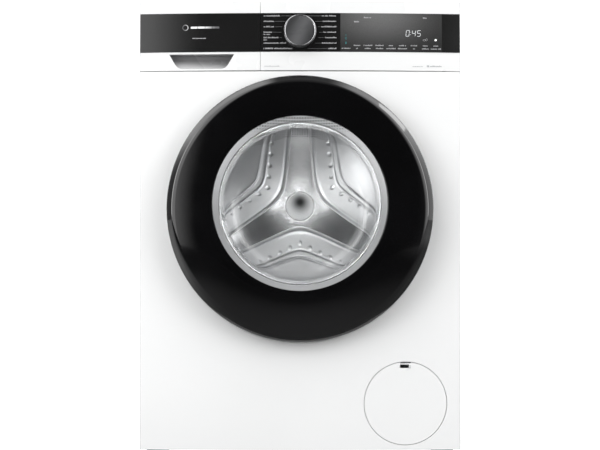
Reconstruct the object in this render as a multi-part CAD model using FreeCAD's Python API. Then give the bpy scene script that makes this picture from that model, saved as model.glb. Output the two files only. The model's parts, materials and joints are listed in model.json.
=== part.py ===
import FreeCAD, Part
import math
import os

# Front load washing machine, in millimetres.
# +X is to the right as seen from the front, the front faces -Y, +Z is up.
# The origin is the bottom centre of the whole machine, on the floor.

V = FreeCAD.Vector
X_AXIS = V(1, 0, 0)
Y_AXIS = V(0, 1, 0)
Z_AXIS = V(0, 0, 1)

# Overall size
WIDTH = 598.0
HEIGHT = 848.0
DEPTH = 635.0
DOOR_PROUD = 45.0
HALF_W = WIDTH / 2
BACK = DEPTH / 2
FRONT = -BACK + DOOR_PROUD      # foremost line of the bowed front
DOOR_FRONT = -BACK

# Bowed front: every front surface is part of one upright cylinder
BOW_RISE = 12.0
BOW_R = (HALF_W ** 2 + BOW_RISE ** 2) / (2 * BOW_RISE)
BOW_Y = FRONT + BOW_R           # y of the cylinder's axis

# Heights of the cabinet
CLEARANCE = 12.0                # floor to the lower edge of the cabinet
SEAM_Z = 714.0                  # top of the front panel
FASCIA_Z0 = 716.0
FASCIA_Z1 = 846.0
FASCIA_LEAN = -4.0              # degrees, top leans back
WORKTOP_Z = 828.0
SHEET = 1.2
PANEL_BACK = -246.0             # back plane of the front panel's returns
FASCIA_BACK = -249.0

# Control band and drawer
SEAM_X = -73.5                  # between the drawer front and the fascia
BAND_Z0 = 750.6
BAND_Z1 = 823.1
BAND_PROUD = 0.6
BAND_DEPTH = 2.0
KNOB_Z = 787.0
KNOB_R = 29.9
KNOB_SHAFT_R = 5.0
DISPLAY_X0 = 75.0
DISPLAY_X1 = 264.0

# Door
DOOR_Z = 459.0
DOOR_R = 245.0
GLASS_Z = 469.0
WINDOW_R = 160.0
RECESS_R = 248.0
RECESS_Y = -262.0
PANEL_HOLE_R = 188.0
HINGE_X = -228.0
HINGE_Y = -288.0
HINGE_PIN_R = 4.0
LATCH_X = 208.0
LATCH_Y = -277.0

# Tub and drum, all on one axis along Y
AXIS_Z = GLASS_Z
DRUM_R = 248.0
DRUM_SHEET = 1.2
DRUM_MOUTH_R = 160.0
DRUM_Y0 = -190.0
DRUM_Y1 = 140.0
DRUM_BACK_Y = 137.0
TUB_IN = 262.0
TUB_OUT = 268.0
TUB_FLANGE = 278.0
TUB_Y0 = -212.0
TUB_SPLIT = -20.0
TUB_Y1 = 180.0
TUB_WALL = 6.0
TUB_MOUTH_R = 172.0
SHAFT_R = 14.0
BEARING_R = 31.0

# Drive
PULLEY_R = 150.0
MOTOR_PULLEY_R = 12.5
MOTOR_X = 95.0
MOTOR_Z = 138.0
MOTOR_R = 55.0
PULLEY_Y0 = 240.0
PULLEY_Y1 = 254.0

# Pump and service flap
SERVICE_X = 195.8
SERVICE_Z = 98.4
FLAP_R = 76.6
FLAP_HOLE_R = 77.6
PUMP_BORE_R = 31.0

# Fits
RUNNING = 0.05                  # radial clearance of a turning shaft
GAP = 0.3                       # clearance between moving neighbours


# ---------------------------------------------------------------- shape helpers

def block(x0, x1, y0, y1, z0, z1):
    return Part.makeBox(x1 - x0, y1 - y0, z1 - z0, V(x0, y0, z0))


def rod_x(y, z, r, x0, x1):
    return Part.makeCylinder(r, x1 - x0, V(x0, y, z), X_AXIS)


def rod_y(x, z, r, y0, y1):
    return Part.makeCylinder(r, y1 - y0, V(x, y0, z), Y_AXIS)


def rod_z(x, y, r, z0, z1):
    return Part.makeCylinder(r, z1 - z0, V(x, y, z0), Z_AXIS)


def pipe_y(x, z, r_out, r_in, y0, y1):
    return rod_y(x, z, r_out, y0, y1).cut(rod_y(x, z, r_in, y0 - 1, y1 + 1))


def pipe_z(x, y, r_out, r_in, z0, z1):
    return rod_z(x, y, r_out, z0, z1).cut(rod_z(x, y, r_in, z0 - 1, z1 + 1))


def closed_face(points):
    return Part.Face(Part.makePolygon(points + [points[0]]))


def prism_z(points, z0, z1):
    """Polygon of (x, y) points, raised along Z."""
    return closed_face([V(x, y, z0) for x, y in points]).extrude(V(0, 0, z1 - z0))


def prism_y(points, y0, y1):
    """Polygon of (x, z) points, pushed along Y."""
    return closed_face([V(x, y0, z) for x, z in points]).extrude(V(0, y1 - y0, 0))


def prism_x(points, x0, x1):
    """Polygon of (y, z) points, pushed along X."""
    return closed_face([V(x0, y, z) for y, z in points]).extrude(V(x1 - x0, 0, 0))


def turned(profile, z, x=0.0):
    """Polygon of (radius, y) points, turned about the line along Y through (x, z)."""
    face = closed_face([V(x + r, y, z) for r, y in profile])
    return face.revolve(V(x, 0, z), Y_AXIS, 360)


def fused(shapes):
    result = shapes[0]
    for shape in shapes[1:]:
        result = result.fuse(shape)
    return result.removeSplitter()


def group(shapes):
    return Part.makeCompound(shapes)


def turned_about_axis(shape, degrees):
    """A copy turned about the drum's axis."""
    copy = shape.copy()
    copy.rotate(V(0, 0, AXIS_Z), Y_AXIS, degrees)
    return copy


def lean(shape):
    """Tilt a piece of the control panel back about its lower front edge."""
    copy = shape.copy()
    copy.rotate(V(0, FRONT, FASCIA_Z0), X_AXIS, FASCIA_LEAN)
    return copy


def bow_point(x, depth):
    r = BOW_R - depth
    return V(x, BOW_Y - math.sqrt(r * r - x * x), 0)


def bow_arc(x0, x1, depth):
    return Part.Arc(bow_point(x0, depth), bow_point((x0 + x1) / 2, depth), bow_point(x1, depth)).toShape()


def bow_slab(x0, x1, z0, z1, depth0, depth1):
    """Curved sheet that follows the bowed front, from one depth behind it to another."""
    front = bow_arc(x0, x1, depth0)
    back = bow_arc(x0, x1, depth1)
    left = Part.makeLine(bow_point(x0, depth0), bow_point(x0, depth1))
    right = Part.makeLine(bow_point(x1, depth0), bow_point(x1, depth1))
    face = Part.Face(Part.Wire([front, right, back, left]))
    face.translate(V(0, 0, z0))
    return face.extrude(V(0, 0, z1 - z0))


def bow_block(x0, x1, y_back, z0, z1, depth):
    """Block with the bowed front and a flat back."""
    front = bow_arc(x0, x1, depth)
    left = Part.makeLine(bow_point(x0, depth), V(x0, y_back, 0))
    right = Part.makeLine(bow_point(x1, depth), V(x1, y_back, 0))
    back = Part.makeLine(V(x0, y_back, 0), V(x1, y_back, 0))
    face = Part.Face(Part.Wire([front, right, back, left]))
    face.translate(V(0, 0, z0))
    return face.extrude(V(0, 0, z1 - z0))


def front_corner_edges(shape, xs):
    """The upright edges of a bowed block at its front corners."""
    found = []
    for edge in shape.Edges:
        box = edge.BoundBox
        upright = box.ZLength > 20 and box.XLength < 0.01 and box.YLength < 0.01
        if upright and box.YMin < FASCIA_BACK - 5 and min(abs(box.XMin - x) for x in xs) < 0.01:
            found.append(edge)
    return found


def round_bar(points, r_out, r_in, bend):
    """Hose along straight runs joined by arcs of one bend radius."""
    path = []
    start = points[0]
    for before, corner, after in zip(points, points[1:], points[2:]):
        a = (before - corner).normalize()
        b = (after - corner).normalize()
        half = a.getAngle(b) / 2
        reach = bend / math.tan(half)
        middle = (a + b).normalize() * (bend / math.sin(half))
        p = corner + a * reach
        q = corner + b * reach
        top = corner + middle - (a + b).normalize() * bend
        path.append(Part.makeLine(start, p))
        path.append(Part.Arc(p, top, q).toShape())
        start = q
    path.append(Part.makeLine(start, points[-1]))
    spine = Part.Wire(path)
    first = (points[1] - points[0]).normalize()
    solids = []
    for r in (r_out, r_in):
        ring = Part.Wire(Part.makeCircle(r, points[0], first))
        solids.append(spine.makePipeShell([ring], True, False))
    return solids[0].cut(solids[1])


# ---------------------------------------------------------------- cabinet

def front_panel():
    outer = bow_block(-HALF_W, HALF_W, PANEL_BACK, CLEARANCE, SEAM_Z, 0)
    outer = outer.makeFillet(3, front_corner_edges(outer, (-HALF_W, HALF_W)))
    sheet = 1.5
    hollow = bow_block(-HALF_W + sheet, HALF_W - sheet, PANEL_BACK + 1, CLEARANCE + sheet, SEAM_Z - sheet, sheet)
    dish = rod_y(0, DOOR_Z, RECESS_R + sheet, FRONT - 5, RECESS_Y + sheet).common(outer)
    panel = outer.cut(hollow).fuse(dish)
    panel = panel.cut(rod_y(0, DOOR_Z, RECESS_R, FRONT - 10, RECESS_Y))
    panel = panel.cut(rod_y(0, GLASS_Z, PANEL_HOLE_R, FRONT - 10, PANEL_BACK))
    panel = panel.cut(rod_y(SERVICE_X, SERVICE_Z, FLAP_HOLE_R, FRONT - 10, PANEL_BACK))
    latch_slot = block(196, 220, FRONT - 10, PANEL_BACK, DOOR_Z - 18, DOOR_Z + 18)
    return panel.cut(latch_slot)


def side_panel(side):
    """Folded sheet; its front edge follows the leaning fascia above the seam."""
    lean_shift = (FASCIA_Z1 - FASCIA_Z0) * math.tan(math.radians(-FASCIA_LEAN))
    outline = [
        (PANEL_BACK + GAP, CLEARANCE),
        (PANEL_BACK + GAP, FASCIA_Z0 - 1),
        (PANEL_BACK + GAP + lean_shift, WORKTOP_Z - GAP),
        (300, WORKTOP_Z - GAP),
        (300, CLEARANCE),
    ]
    wall = prism_x(outline, HALF_W - SHEET, HALF_W)
    flange = block(HALF_W - 15, HALF_W, 300 - SHEET, 300, CLEARANCE, WORKTOP_Z - GAP)
    hanger = block(216, HALF_W, 30, 50, 803, 806)
    panel = fused([wall, flange, hanger])
    panel = panel.cut(group([rod_y(x, z, 2.2, 290, 302) for x, z in REAR_SCREWS if x > 0]))
    return panel if side > 0 else panel.mirror(V(0, 0, 0), X_AXIS)


REAR_SCREWS = [(x, z) for x in (-289, 289) for z in (60, 250, 440, 630, 800)]
COVER_SCREWS = [(x, z) for x in (-159, 159) for z in (125, 375, 625)]
TRANSIT_HOLES = [(x, z) for x in (-215, 215) for z in (330, 610)]
VALVE_X = -180.0
VALVE_Z = 790.0
GLAND_X = 215.0
GLAND_Z = 790.0
DRAIN_X = 270.0
DRAIN_Z = 690.0
INLET_R = 13.2                  # G 3/4 thread, drawn plain
OUTLET_R = 10.0
SPIGOT_LENGTH = 14.0
REAR_Y0 = 300.2
REAR_Y1 = 301.4


def rounded_plate(x0, x1, z0, z1, y0, y1, r):
    plate = block(x0, x1, y0, y1, z0, z1)
    corners = [e for e in plate.Edges if e.BoundBox.YLength > (y1 - y0) * 0.9 and e.BoundBox.XLength < 0.01
               and e.BoundBox.ZLength < 0.01]
    return plate.makeFillet(r, corners)


def rear_panel():
    sheet = block(-HALF_W + 2, HALF_W - 2, REAR_Y0, REAR_Y1, CLEARANCE + 2, WORKTOP_Z - 2)
    holes = [rounded_plate(-146, 146, 139, 611, REAR_Y0 - 1, REAR_Y1 + 1, 25)]
    holes += [rod_y(x, z, 10.5, REAR_Y0 - 1, REAR_Y1 + 1) for x, z in TRANSIT_HOLES]
    holes += [rod_y(x, z, 2.2, REAR_Y0 - 1, REAR_Y1 + 1) for x, z in REAR_SCREWS + COVER_SCREWS]
    holes.append(rod_y(VALVE_X, VALVE_Z, 15, REAR_Y0 - 1, REAR_Y1 + 1))
    holes.append(rod_y(GLAND_X, GLAND_Z, 9, REAR_Y0 - 1, REAR_Y1 + 1))
    holes.append(rod_y(DRAIN_X, DRAIN_Z, 11, REAR_Y0 - 1, REAR_Y1 + 1))
    return sheet.cut(group(holes))


def rear_access_cover():
    flat = rounded_plate(-168, 168, 116, 634, REAR_Y1 + 0.2, REAR_Y1 + 1.4, 32)
    raised = rounded_plate(-140, 140, 145, 605, REAR_Y1 + 0.2, REAR_Y1 + 7, 28)
    hollow = rounded_plate(-138.8, 138.8, 146.2, 603.8, REAR_Y1 - 1, REAR_Y1 + 5.8, 26.8)
    holes = [rod_y(x, z, 2.2, REAR_Y1 - 1, REAR_Y1 + 3) for x, z in COVER_SCREWS]
    return flat.fuse(raised).cut(hollow).cut(group(holes))


def screw(x, y, z):
    """Pan head screw driven forwards from the rear."""
    head = rod_y(x, z, 4.5, y, y + 2.6)
    shank = rod_y(x, z, 2.0, y - 5.5, y)
    cross = fused([block(x - 2.6, x + 2.6, y + 1.2, y + 3, z - 0.5, z + 0.5),
                   block(x - 0.5, x + 0.5, y + 1.2, y + 3, z - 2.6, z + 2.6)])
    return head.fuse(shank).cut(cross).removeSplitter()


def cabinet_screws():
    screws = [screw(x, REAR_Y1, z) for x, z in REAR_SCREWS]
    screws += [screw(x, REAR_Y1 + 1.4, z) for x, z in COVER_SCREWS]
    return group(screws)


def transit_bolt_caps():
    caps = []
    for x, z in TRANSIT_HOLES:
        lid = turned([(0, REAR_Y1), (15, REAR_Y1), (15, REAR_Y1 + 2), (12, REAR_Y1 + 4.5), (0, REAR_Y1 + 4.5)], z, x)
        caps.append(fused([lid, rod_y(x, z, 10.2, REAR_Y1 - 8, REAR_Y1)]))
    return group(caps)


def worktop():
    top = block(-HALF_W, HALF_W, -238, BACK, WORKTOP_Z, HEIGHT)
    upright = [e for e in top.Edges if e.BoundBox.ZLength > 10]
    top = top.makeFillet(4, upright)
    rim = [e for e in top.Edges if e.BoundBox.ZMin > HEIGHT - 0.01]
    return top.makeFillet(2.5, rim)


FOOT_SPOTS = {
    "foot_front_left": (-268.0, -222.0),
    "foot_front_right": (268.0, -222.0),
    "foot_rear_left": (-268.0, 268.0),
    "foot_rear_right": (268.0, 268.0),
}
FOOT_STEM_R = 6.0
FOOT_STEM_TOP = 36.0


def base_tray():
    side = HALF_W - 1.5
    floor = block(-side, side, PANEL_BACK + 1, 298, 14, 16.4)
    lips = [block(s * side if s < 0 else side - 2, -side + 2 if s < 0 else side, PANEL_BACK + 1, 298, 16.4, 44)
            for s in (-1, 1)]
    rear_lip = block(-side, side, 296, 298, 16.4, 44)
    bosses = [rod_z(x, y, 12, 13, 33) for x, y in FOOT_SPOTS.values()]
    tray = fused([floor, rear_lip] + lips + bosses)
    return tray.cut(group([rod_z(x, y, FOOT_STEM_R + RUNNING, 10, 50) for x, y in FOOT_SPOTS.values()]))


def foot(x, y):
    pad = rod_z(x, y, 22, 0, 5).fuse(Part.makeCone(22, 13, 4, V(x, y, 5)))
    pad = pad.fuse(rod_z(x, y, 10, 9, 11.5))
    return pad.fuse(rod_z(x, y, FOOT_STEM_R, 11.5, FOOT_STEM_TOP)).removeSplitter()


def cross_rails():
    inner = HALF_W - SHEET
    front = block(-inner, inner, -236, -222, 744, 751.5)
    rear = block(-inner, inner, 280, 298, 815, 827)
    return group([front, rear])


# ---------------------------------------------------------------- control panel

def panel_tray(x0, x1):
    """White shell of the control panel between two upright edges, before leaning."""
    wall = 2.5
    face = 4.0
    outer = bow_block(x0, x1, FASCIA_BACK, FASCIA_Z0, FASCIA_Z1, 0)
    corners = front_corner_edges(outer, (-HALF_W, HALF_W))
    outer = outer.makeFillet(3, corners)
    hollow = bow_block(x0 + wall, x1 - wall, FASCIA_BACK + 1, FASCIA_Z0 + wall, FASCIA_Z1 - wall, face)
    return outer.cut(hollow)


def control_fascia():
    shell = panel_tray(SEAM_X + GAP, HALF_W)
    pocket = bow_slab(SEAM_X, HALF_W - 1.4, BAND_Z0 - 0.2, BAND_Z1 + 0.2, -2, BAND_DEPTH)
    window = block(DISPLAY_X0, DISPLAY_X1, FRONT - 5, FASCIA_BACK, 762, 812)
    shaft_hole = rod_y(0, KNOB_Z, 7, FRONT - 5, FASCIA_BACK)
    return lean(shell.cut(pocket).cut(window).cut(shaft_hole))


def control_band():
    band = bow_slab(SEAM_X + GAP, HALF_W - 1.6, BAND_Z0, BAND_Z1, -BAND_PROUD, BAND_DEPTH)
    return lean(band.cut(rod_y(0, KNOB_Z, 7, FRONT - 5, FASCIA_BACK)))


BOARD_Y0 = -255.5
BOARD_Y1 = -236.0


def control_board():
    """Electronics box behind the fascia with the display module standing on it."""
    box = block(-62, 286, BOARD_Y0, BOARD_Y1, 762, 814)
    display = block(DISPLAY_X0 + 6, DISPLAY_X1 - 40, BOARD_Y0 - 5, BOARD_Y0, 766, 808)
    encoder = rod_y(0, KNOB_Z, 11, BOARD_Y0 - 3, BOARD_Y0)
    socket = rod_y(0, KNOB_Z, KNOB_SHAFT_R + RUNNING, BOARD_Y0 - 5, BOARD_Y0 + 12)
    return lean(fused([box, display, encoder]).cut(socket))


KNOB_FACE_Y = FRONT - 20.0
KNOB_BASE_Y = FRONT - BAND_PROUD - 0.6


def programme_knob():
    skirt = turned([(0, KNOB_FACE_Y + 0.6), (27.2, KNOB_FACE_Y + 0.6), (27.2, KNOB_FACE_Y + 4),
                    (KNOB_R - 0.6, KNOB_FACE_Y + 4), (KNOB_R, KNOB_BASE_Y), (0, KNOB_BASE_Y)], KNOB_Z)
    shaft = rod_y(0, KNOB_Z, KNOB_SHAFT_R, KNOB_BASE_Y, BOARD_Y0 + 11)
    return lean(skirt.fuse(shaft).removeSplitter())


def knob_ring():
    ring = turned([(27.2, KNOB_FACE_Y + 0.3), (27.9, KNOB_FACE_Y), (28.8, KNOB_FACE_Y), (KNOB_R, KNOB_FACE_Y + 1.2),
                   (KNOB_R, KNOB_FACE_Y + 4), (27.2, KNOB_FACE_Y + 4)], KNOB_Z)
    return lean(ring)


# ---------------------------------------------------------------- detergent drawer

GRIP_X0 = -243.0
GRIP_X1 = -122.0
GRIP_Z0 = 719.0
GRIP_Z1 = 746.6
GRIP_LIP = 8.0                  # how far behind the foremost line the scoop ends at its lower edge
GRIP_DEPTH = 20.0


def grip_outline(grow):
    """Scoop under the band: wide at the top, narrower and rounded below."""
    inset = 16.0
    r = 17.0
    x0, x1 = GRIP_X0 - grow, GRIP_X1 + grow
    z0, z1 = GRIP_Z0 - grow, GRIP_Z1 + grow * 0.6
    left = V(x0 + inset, 0, z0)
    right = V(x1 - inset, 0, z0)
    a, b = V(x0, 0, z1), V(x1, 0, z1)
    points = [a, left, right, b]
    path = []
    start = a
    for before, corner, after in zip(points, points[1:], points[2:]):
        u = (before - corner).normalize()
        w = (after - corner).normalize()
        half = u.getAngle(w) / 2
        reach = r / math.tan(half)
        middle = (u + w).normalize()
        p, q = corner + u * reach, corner + w * reach
        top = corner + middle * (r / math.sin(half) - r)
        path.append(Part.makeLine(start, p))
        path.append(Part.Arc(p, top, q).toShape())
        start = q
    path.append(Part.makeLine(start, b))
    path.append(Part.makeLine(b, a))
    return Part.Face(Part.Wire(path))


def grip_wedge(grow):
    """Scoop volume, deepest under the band and running out at its lower edge."""
    outline = grip_outline(grow)
    outline.translate(V(0, FRONT - 10, 0))
    straight = outline.extrude(V(0, 60, 0))
    front_y = FRONT + GRIP_LIP
    slope = prism_x([(FRONT - 10, GRIP_Z0 - grow - 3), (front_y + grow, GRIP_Z0 - grow - 3),
                     (front_y + GRIP_DEPTH + grow, GRIP_Z1 - 6), (front_y + GRIP_DEPTH + grow, GRIP_Z1 + 5),
                     (FRONT - 10, GRIP_Z1 + 5)], GRIP_X0 - 10, GRIP_X1 + 10)
    return straight.common(slope)


def drawer_front():
    envelope = bow_block(-HALF_W, SEAM_X - GAP, -200, FASCIA_Z0, FASCIA_Z1, 0)
    shell = panel_tray(-HALF_W, SEAM_X - GAP)
    scoop_wall = grip_wedge(2.0).common(envelope)
    pocket = bow_slab(-HALF_W + 1.4, SEAM_X, BAND_Z0 - 0.2, BAND_Z1 + 0.2, -2, BAND_DEPTH)
    shell = shell.fuse(scoop_wall).cut(grip_wedge(0)).cut(pocket)
    return lean(shell.removeSplitter())


def drawer_band():
    return lean(bow_slab(-HALF_W + 1.6, SEAM_X - GAP, BAND_Z0, BAND_Z1, -BAND_PROUD, BAND_DEPTH))


TRAY_X0 = -280.0
TRAY_X1 = -98.0
TRAY_Z0 = 757.0
TRAY_Z1 = 815.0
TRAY_Y0 = -249.0
TRAY_Y1 = -20.0
TRAY_WALL = 2.0
TRAY_DIVIDERS = (-212.0, -158.0)


def drawer_tray():
    """Open tray with three compartments side by side."""
    tray = block(TRAY_X0, TRAY_X1, TRAY_Y0, TRAY_Y1, TRAY_Z0, TRAY_Z1)
    edges = [TRAY_X0] + list(TRAY_DIVIDERS) + [TRAY_X1]
    for left, right in zip(edges, edges[1:]):
        x0 = left + (TRAY_WALL if left == TRAY_X0 else TRAY_WALL / 2)
        x1 = right - (TRAY_WALL if right == TRAY_X1 else TRAY_WALL / 2)
        tray = tray.cut(block(x0, x1, TRAY_Y0 + TRAY_WALL, TRAY_Y1 - TRAY_WALL, TRAY_Z0 + TRAY_WALL, TRAY_Z1 + 1))
    clips = [block(x - 6, x + 6, TRAY_Y0 - 7, TRAY_Y0, TRAY_Z0 + 10, TRAY_Z0 + 18) for x in (-190, -120)]
    return fused([tray] + clips)


def siphon_cover():
    """Cap over the softener siphon in the middle compartment."""
    x0, x1 = TRAY_DIVIDERS[0] + 1.5, TRAY_DIVIDERS[1] - 1.5
    cap = block(x0, x1, -70, -23, TRAY_Z0 + 34, TRAY_Z0 + 37)
    skirt = block(x0 + 6, x1 - 6, -66, -26, TRAY_Z0 + 20, TRAY_Z0 + 34)
    skirt = skirt.cut(block(x0 + 8, x1 - 8, -64, -28, TRAY_Z0 + 19, TRAY_Z0 + 34))
    tab = block((x0 + x1) / 2 - 8, (x0 + x1) / 2 + 8, -70, -67, TRAY_Z0 + 37, TRAY_Z0 + 44)
    return fused([cap, skirt, tab])


HOUSING_X0 = -288.0
HOUSING_X1 = -90.0
HOUSING_Y0 = -238.0
HOUSING_Y1 = 10.0
HOUSING_Z0 = 752.0
HOUSING_Z1 = 825.0


def dispenser_housing():
    outer = block(HOUSING_X0, HOUSING_X1, HOUSING_Y0, HOUSING_Y1, HOUSING_Z0, HOUSING_Z1)
    inner = block(HOUSING_X0 + 2, HOUSING_X1 - 2, HOUSING_Y0 - 1, HOUSING_Y1 - 2, HOUSING_Z0 + 2, HOUSING_Z1 - 2)
    inlet = rod_y(VALVE_X, VALVE_Z, 7, HOUSING_Y1, HOUSING_Y1 + 12)
    outlet = rod_z(-150, -60, 15, HOUSING_Z0 - 6, HOUSING_Z0)
    shell = fused([outer.cut(inner), inlet, outlet])
    shell = shell.cut(rod_y(VALVE_X, VALVE_Z, 5, HOUSING_Y1 - 5, HOUSING_Y1 + 13))
    return shell.cut(rod_z(-150, -60, 12.5, HOUSING_Z0 - 7, HOUSING_Z0 + 3))


def dispenser_hose():
    """Rubber bellows from the dispenser down to the tub's neck."""
    profile = [(15, 704)]
    folds = 6
    pitch = (746 - 704) / folds
    for i in range(folds):
        z = 704 + i * pitch
        profile += [(17, z), (19.5, z + pitch / 2)]
    profile += [(17, 746), (15, 746)]
    inner = [(r - 2.2, z) for r, z in profile[1:-1]]
    outline = profile[1:-1] + list(reversed(inner))
    face = closed_face([V(-150 + r, -60, z) for r, z in outline])
    return face.revolve(V(-150, -60, 0), Z_AXIS, 360)


# ---------------------------------------------------------------- water inlet, cable gland, hoses

def inlet_valve():
    """Solenoid valve body; its threaded spigot stands out through the rear panel."""
    body = block(VALVE_X - 18, VALVE_X + 18, 268, REAR_Y0, VALVE_Z - 16, VALVE_Z + 14)
    coil = rod_z(VALVE_X, 282, 12, VALVE_Z - 44, VALVE_Z - 16)
    neck = rod_y(VALVE_X, VALVE_Z, INLET_R - 0.6, REAR_Y0, REAR_Y1)
    spigot = rod_y(VALVE_X, VALVE_Z, INLET_R, REAR_Y1, REAR_Y1 + SPIGOT_LENGTH)
    tail = rod_y(VALVE_X, VALVE_Z, 7, 258, 268)
    bore = rod_y(VALVE_X, VALVE_Z, 9.5, 290, REAR_Y1 + SPIGOT_LENGTH + 1)
    return fused([body, coil, neck, spigot, tail]).cut(bore).cut(rod_y(VALVE_X, VALVE_Z, 5, 257, 291))


def fill_hose():
    """Hose from the valve to the dispenser housing, with a slight sag."""
    points = [V(VALVE_X, HOUSING_Y1 + 12, VALVE_Z), V(VALVE_X, 75, VALVE_Z), V(VALVE_X, 110, VALVE_Z - 8),
              V(VALVE_X, 180, VALVE_Z - 8), V(VALVE_X, 215, VALVE_Z), V(VALVE_X, 258, VALVE_Z)]
    return round_bar(points, 7.5, 5, 60)


def cable_gland():
    flange = rod_y(GLAND_X, GLAND_Z, 13, REAR_Y1, REAR_Y1 + 4)
    nut = prism_y([(GLAND_X + 12 * math.cos(math.radians(a)), GLAND_Z + 12 * math.sin(math.radians(a)))
                   for a in range(0, 360, 60)], REAR_Y1 + 4, REAR_Y1 + 11)
    barrel = rod_y(GLAND_X, GLAND_Z, 8.8, REAR_Y0 - 14, REAR_Y1)
    return fused([flange, nut, barrel]).cut(rod_y(GLAND_X, GLAND_Z, 4.0, REAR_Y0 - 15, REAR_Y1 + 12))


def drain_hose():
    """Hose from the pump, along the side and up the back, to the outlet spigot at the rear."""
    points = [V(SERVICE_X + 40, -95, SERVICE_Z), V(DRAIN_X, -95, SERVICE_Z), V(DRAIN_X, 272, SERVICE_Z),
              V(DRAIN_X, 272, DRAIN_Z), V(DRAIN_X, REAR_Y0 - 4, DRAIN_Z)]
    hose = round_bar(points, 9, 7, 20)
    neck = pipe_y(DRAIN_X, DRAIN_Z, OUTLET_R - 0.5, 7, REAR_Y0 - 4, REAR_Y1)
    spigot = pipe_y(DRAIN_X, DRAIN_Z, OUTLET_R, 7, REAR_Y1, REAR_Y1 + SPIGOT_LENGTH)
    return fused([hose, neck, spigot])


def sump_hose():
    """Rubber hose from the tub's sump to the pump."""
    points = [V(60, -110, 178), V(60, -110, 105), V(SERVICE_X - 46, -110, 105)]
    return round_bar(points, 15, 12, 40)


# ---------------------------------------------------------------- door

def hinge_bracket():
    plate = block(-222, -190, RECESS_Y - 3, RECESS_Y, DOOR_Z - 50, DOOR_Z + 50)
    ear_outline = [(HINGE_X - 7, HINGE_Y + 2), (-221, RECESS_Y - 3), (-200, RECESS_Y - 3), (-222, HINGE_Y - 5)]
    ears = []
    for z0, z1 in ((DOOR_Z - 36, DOOR_Z - 28), (DOOR_Z + 28, DOOR_Z + 36)):
        ears.append(prism_z(ear_outline, z0, z1))
        ears.append(rod_z(HINGE_X, HINGE_Y, 7.5, z0, z1))
    pin = rod_z(HINGE_X, HINGE_Y, HINGE_PIN_R, DOOR_Z - 38, DOOR_Z + 38)
    return fused([plate, pin] + ears)


def door_hinge_arm():
    barrel = rod_z(HINGE_X, HINGE_Y, 8, DOOR_Z - 27.5, DOOR_Z + 27.5)
    strap = block(HINGE_X, -178, -290, -286, DOOR_Z - 24, DOOR_Z + 24)
    bore = rod_z(HINGE_X, HINGE_Y, HINGE_PIN_R + RUNNING, DOOR_Z - 40, DOOR_Z + 40)
    return fused([barrel, strap]).cut(bore)


def door_ring():
    """Crowned black ring with a bevelled rim; the window sits 10 mm above its centre."""
    outer = turned([(0, DOOR_FRONT), (170, DOOR_FRONT), (235, DOOR_FRONT + 3.5), (DOOR_R, DOOR_FRONT + 14.5),
                    (DOOR_R, -290), (240.5, -266), (0, -266)], DOOR_Z)
    hollow = turned([(0, -314), (170, -314), (233.5, -310.5), (241.5, -301.5), (241.5, -289), (237, -265), (0, -265)],
                    DOOR_Z)
    funnel = turned([(152, -316), (168, -316), (160, -292), (152, -292)], GLASS_Z)
    window = turned([(0, -320), (WINDOW_R + 2.5, -320), (WINDOW_R, -315.5), (154, -291), (0, -291)], GLASS_Z)
    hinge_notch = block(-260, -205, -299, -260, DOOR_Z - 54, DOOR_Z + 54)
    finger_notch = block(224, 260, -297, -260, DOOR_Z - 46, DOOR_Z + 46)
    ring = outer.cut(hollow).fuse(funnel).cut(window)
    return ring.cut(hinge_notch).cut(finger_notch).removeSplitter()


GLASS_FLANGE_R = 171.0


def door_glass():
    """Deep glass bowl of even thickness with a clamping flange."""
    def at(r, y):
        return V(r, y, GLASS_Z)

    outside = [
        Part.makeLine(at(GLASS_FLANGE_R, -292), at(GLASS_FLANGE_R, -286)),
        Part.makeLine(at(GLASS_FLANGE_R, -286), at(153.5, -286)),
        Part.makeLine(at(153.5, -286), at(149, -222)),
        Part.Arc(at(149, -222), at(138.5, -196.5), at(113, -186)).toShape(),
        Part.Arc(at(113, -186), at(72, -182.8), at(30, -181.5)).toShape(),
        Part.makeLine(at(30, -181.5), at(0, -181.5)),
    ]
    inside = [
        Part.makeLine(at(0, -181.5), at(0, -186.5)),
        Part.makeLine(at(0, -186.5), at(30, -186.5)),
        Part.Arc(at(30, -186.5), at(72, -187.8), at(112, -191)).toShape(),
        Part.Arc(at(112, -191), at(134.5, -200.5), at(144, -223)).toShape(),
        Part.makeLine(at(144, -223), at(149, -292)),
        Part.makeLine(at(149, -292), at(GLASS_FLANGE_R, -292)),
    ]
    face = Part.Face(Part.Wire(outside + inside))
    return face.revolve(V(0, 0, GLASS_Z), Y_AXIS, 360)


def door_inner_frame():
    """Dished plate that clamps the glass and closes the back of the door."""
    plate = turned([(0, -286), (189, -286), (211, -271), (230, -271), (230, -276), (236.5, -276), (236.5, -268),
                    (212, -268), (190, -283), (0, -283)], DOOR_Z)
    plate = plate.cut(rod_y(0, GLASS_Z, 156, -300, -260))
    plate = plate.cut(block(-260, -196, -300, -260, DOOR_Z - 44, DOOR_Z + 44))
    plate = plate.cut(block(224, 260, -300, -260, DOOR_Z - 47, DOOR_Z + 47))
    plate = plate.cut(block(196, 220, -300, -260, DOOR_Z - 16.5, DOOR_Z + 16.5))
    ears = []
    for z0, z1 in ((DOOR_Z - 18, DOOR_Z - 12.5), (DOOR_Z + 12.5, DOOR_Z + 18)):
        ears.append(block(LATCH_X - 6, LATCH_X + 6, -284, -269, z0, z1))
    plate = fused([plate] + ears)
    return plate.cut(rod_z(LATCH_X, LATCH_Y, 3 + RUNNING, DOOR_Z - 16.5, DOOR_Z + 16.5))


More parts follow.
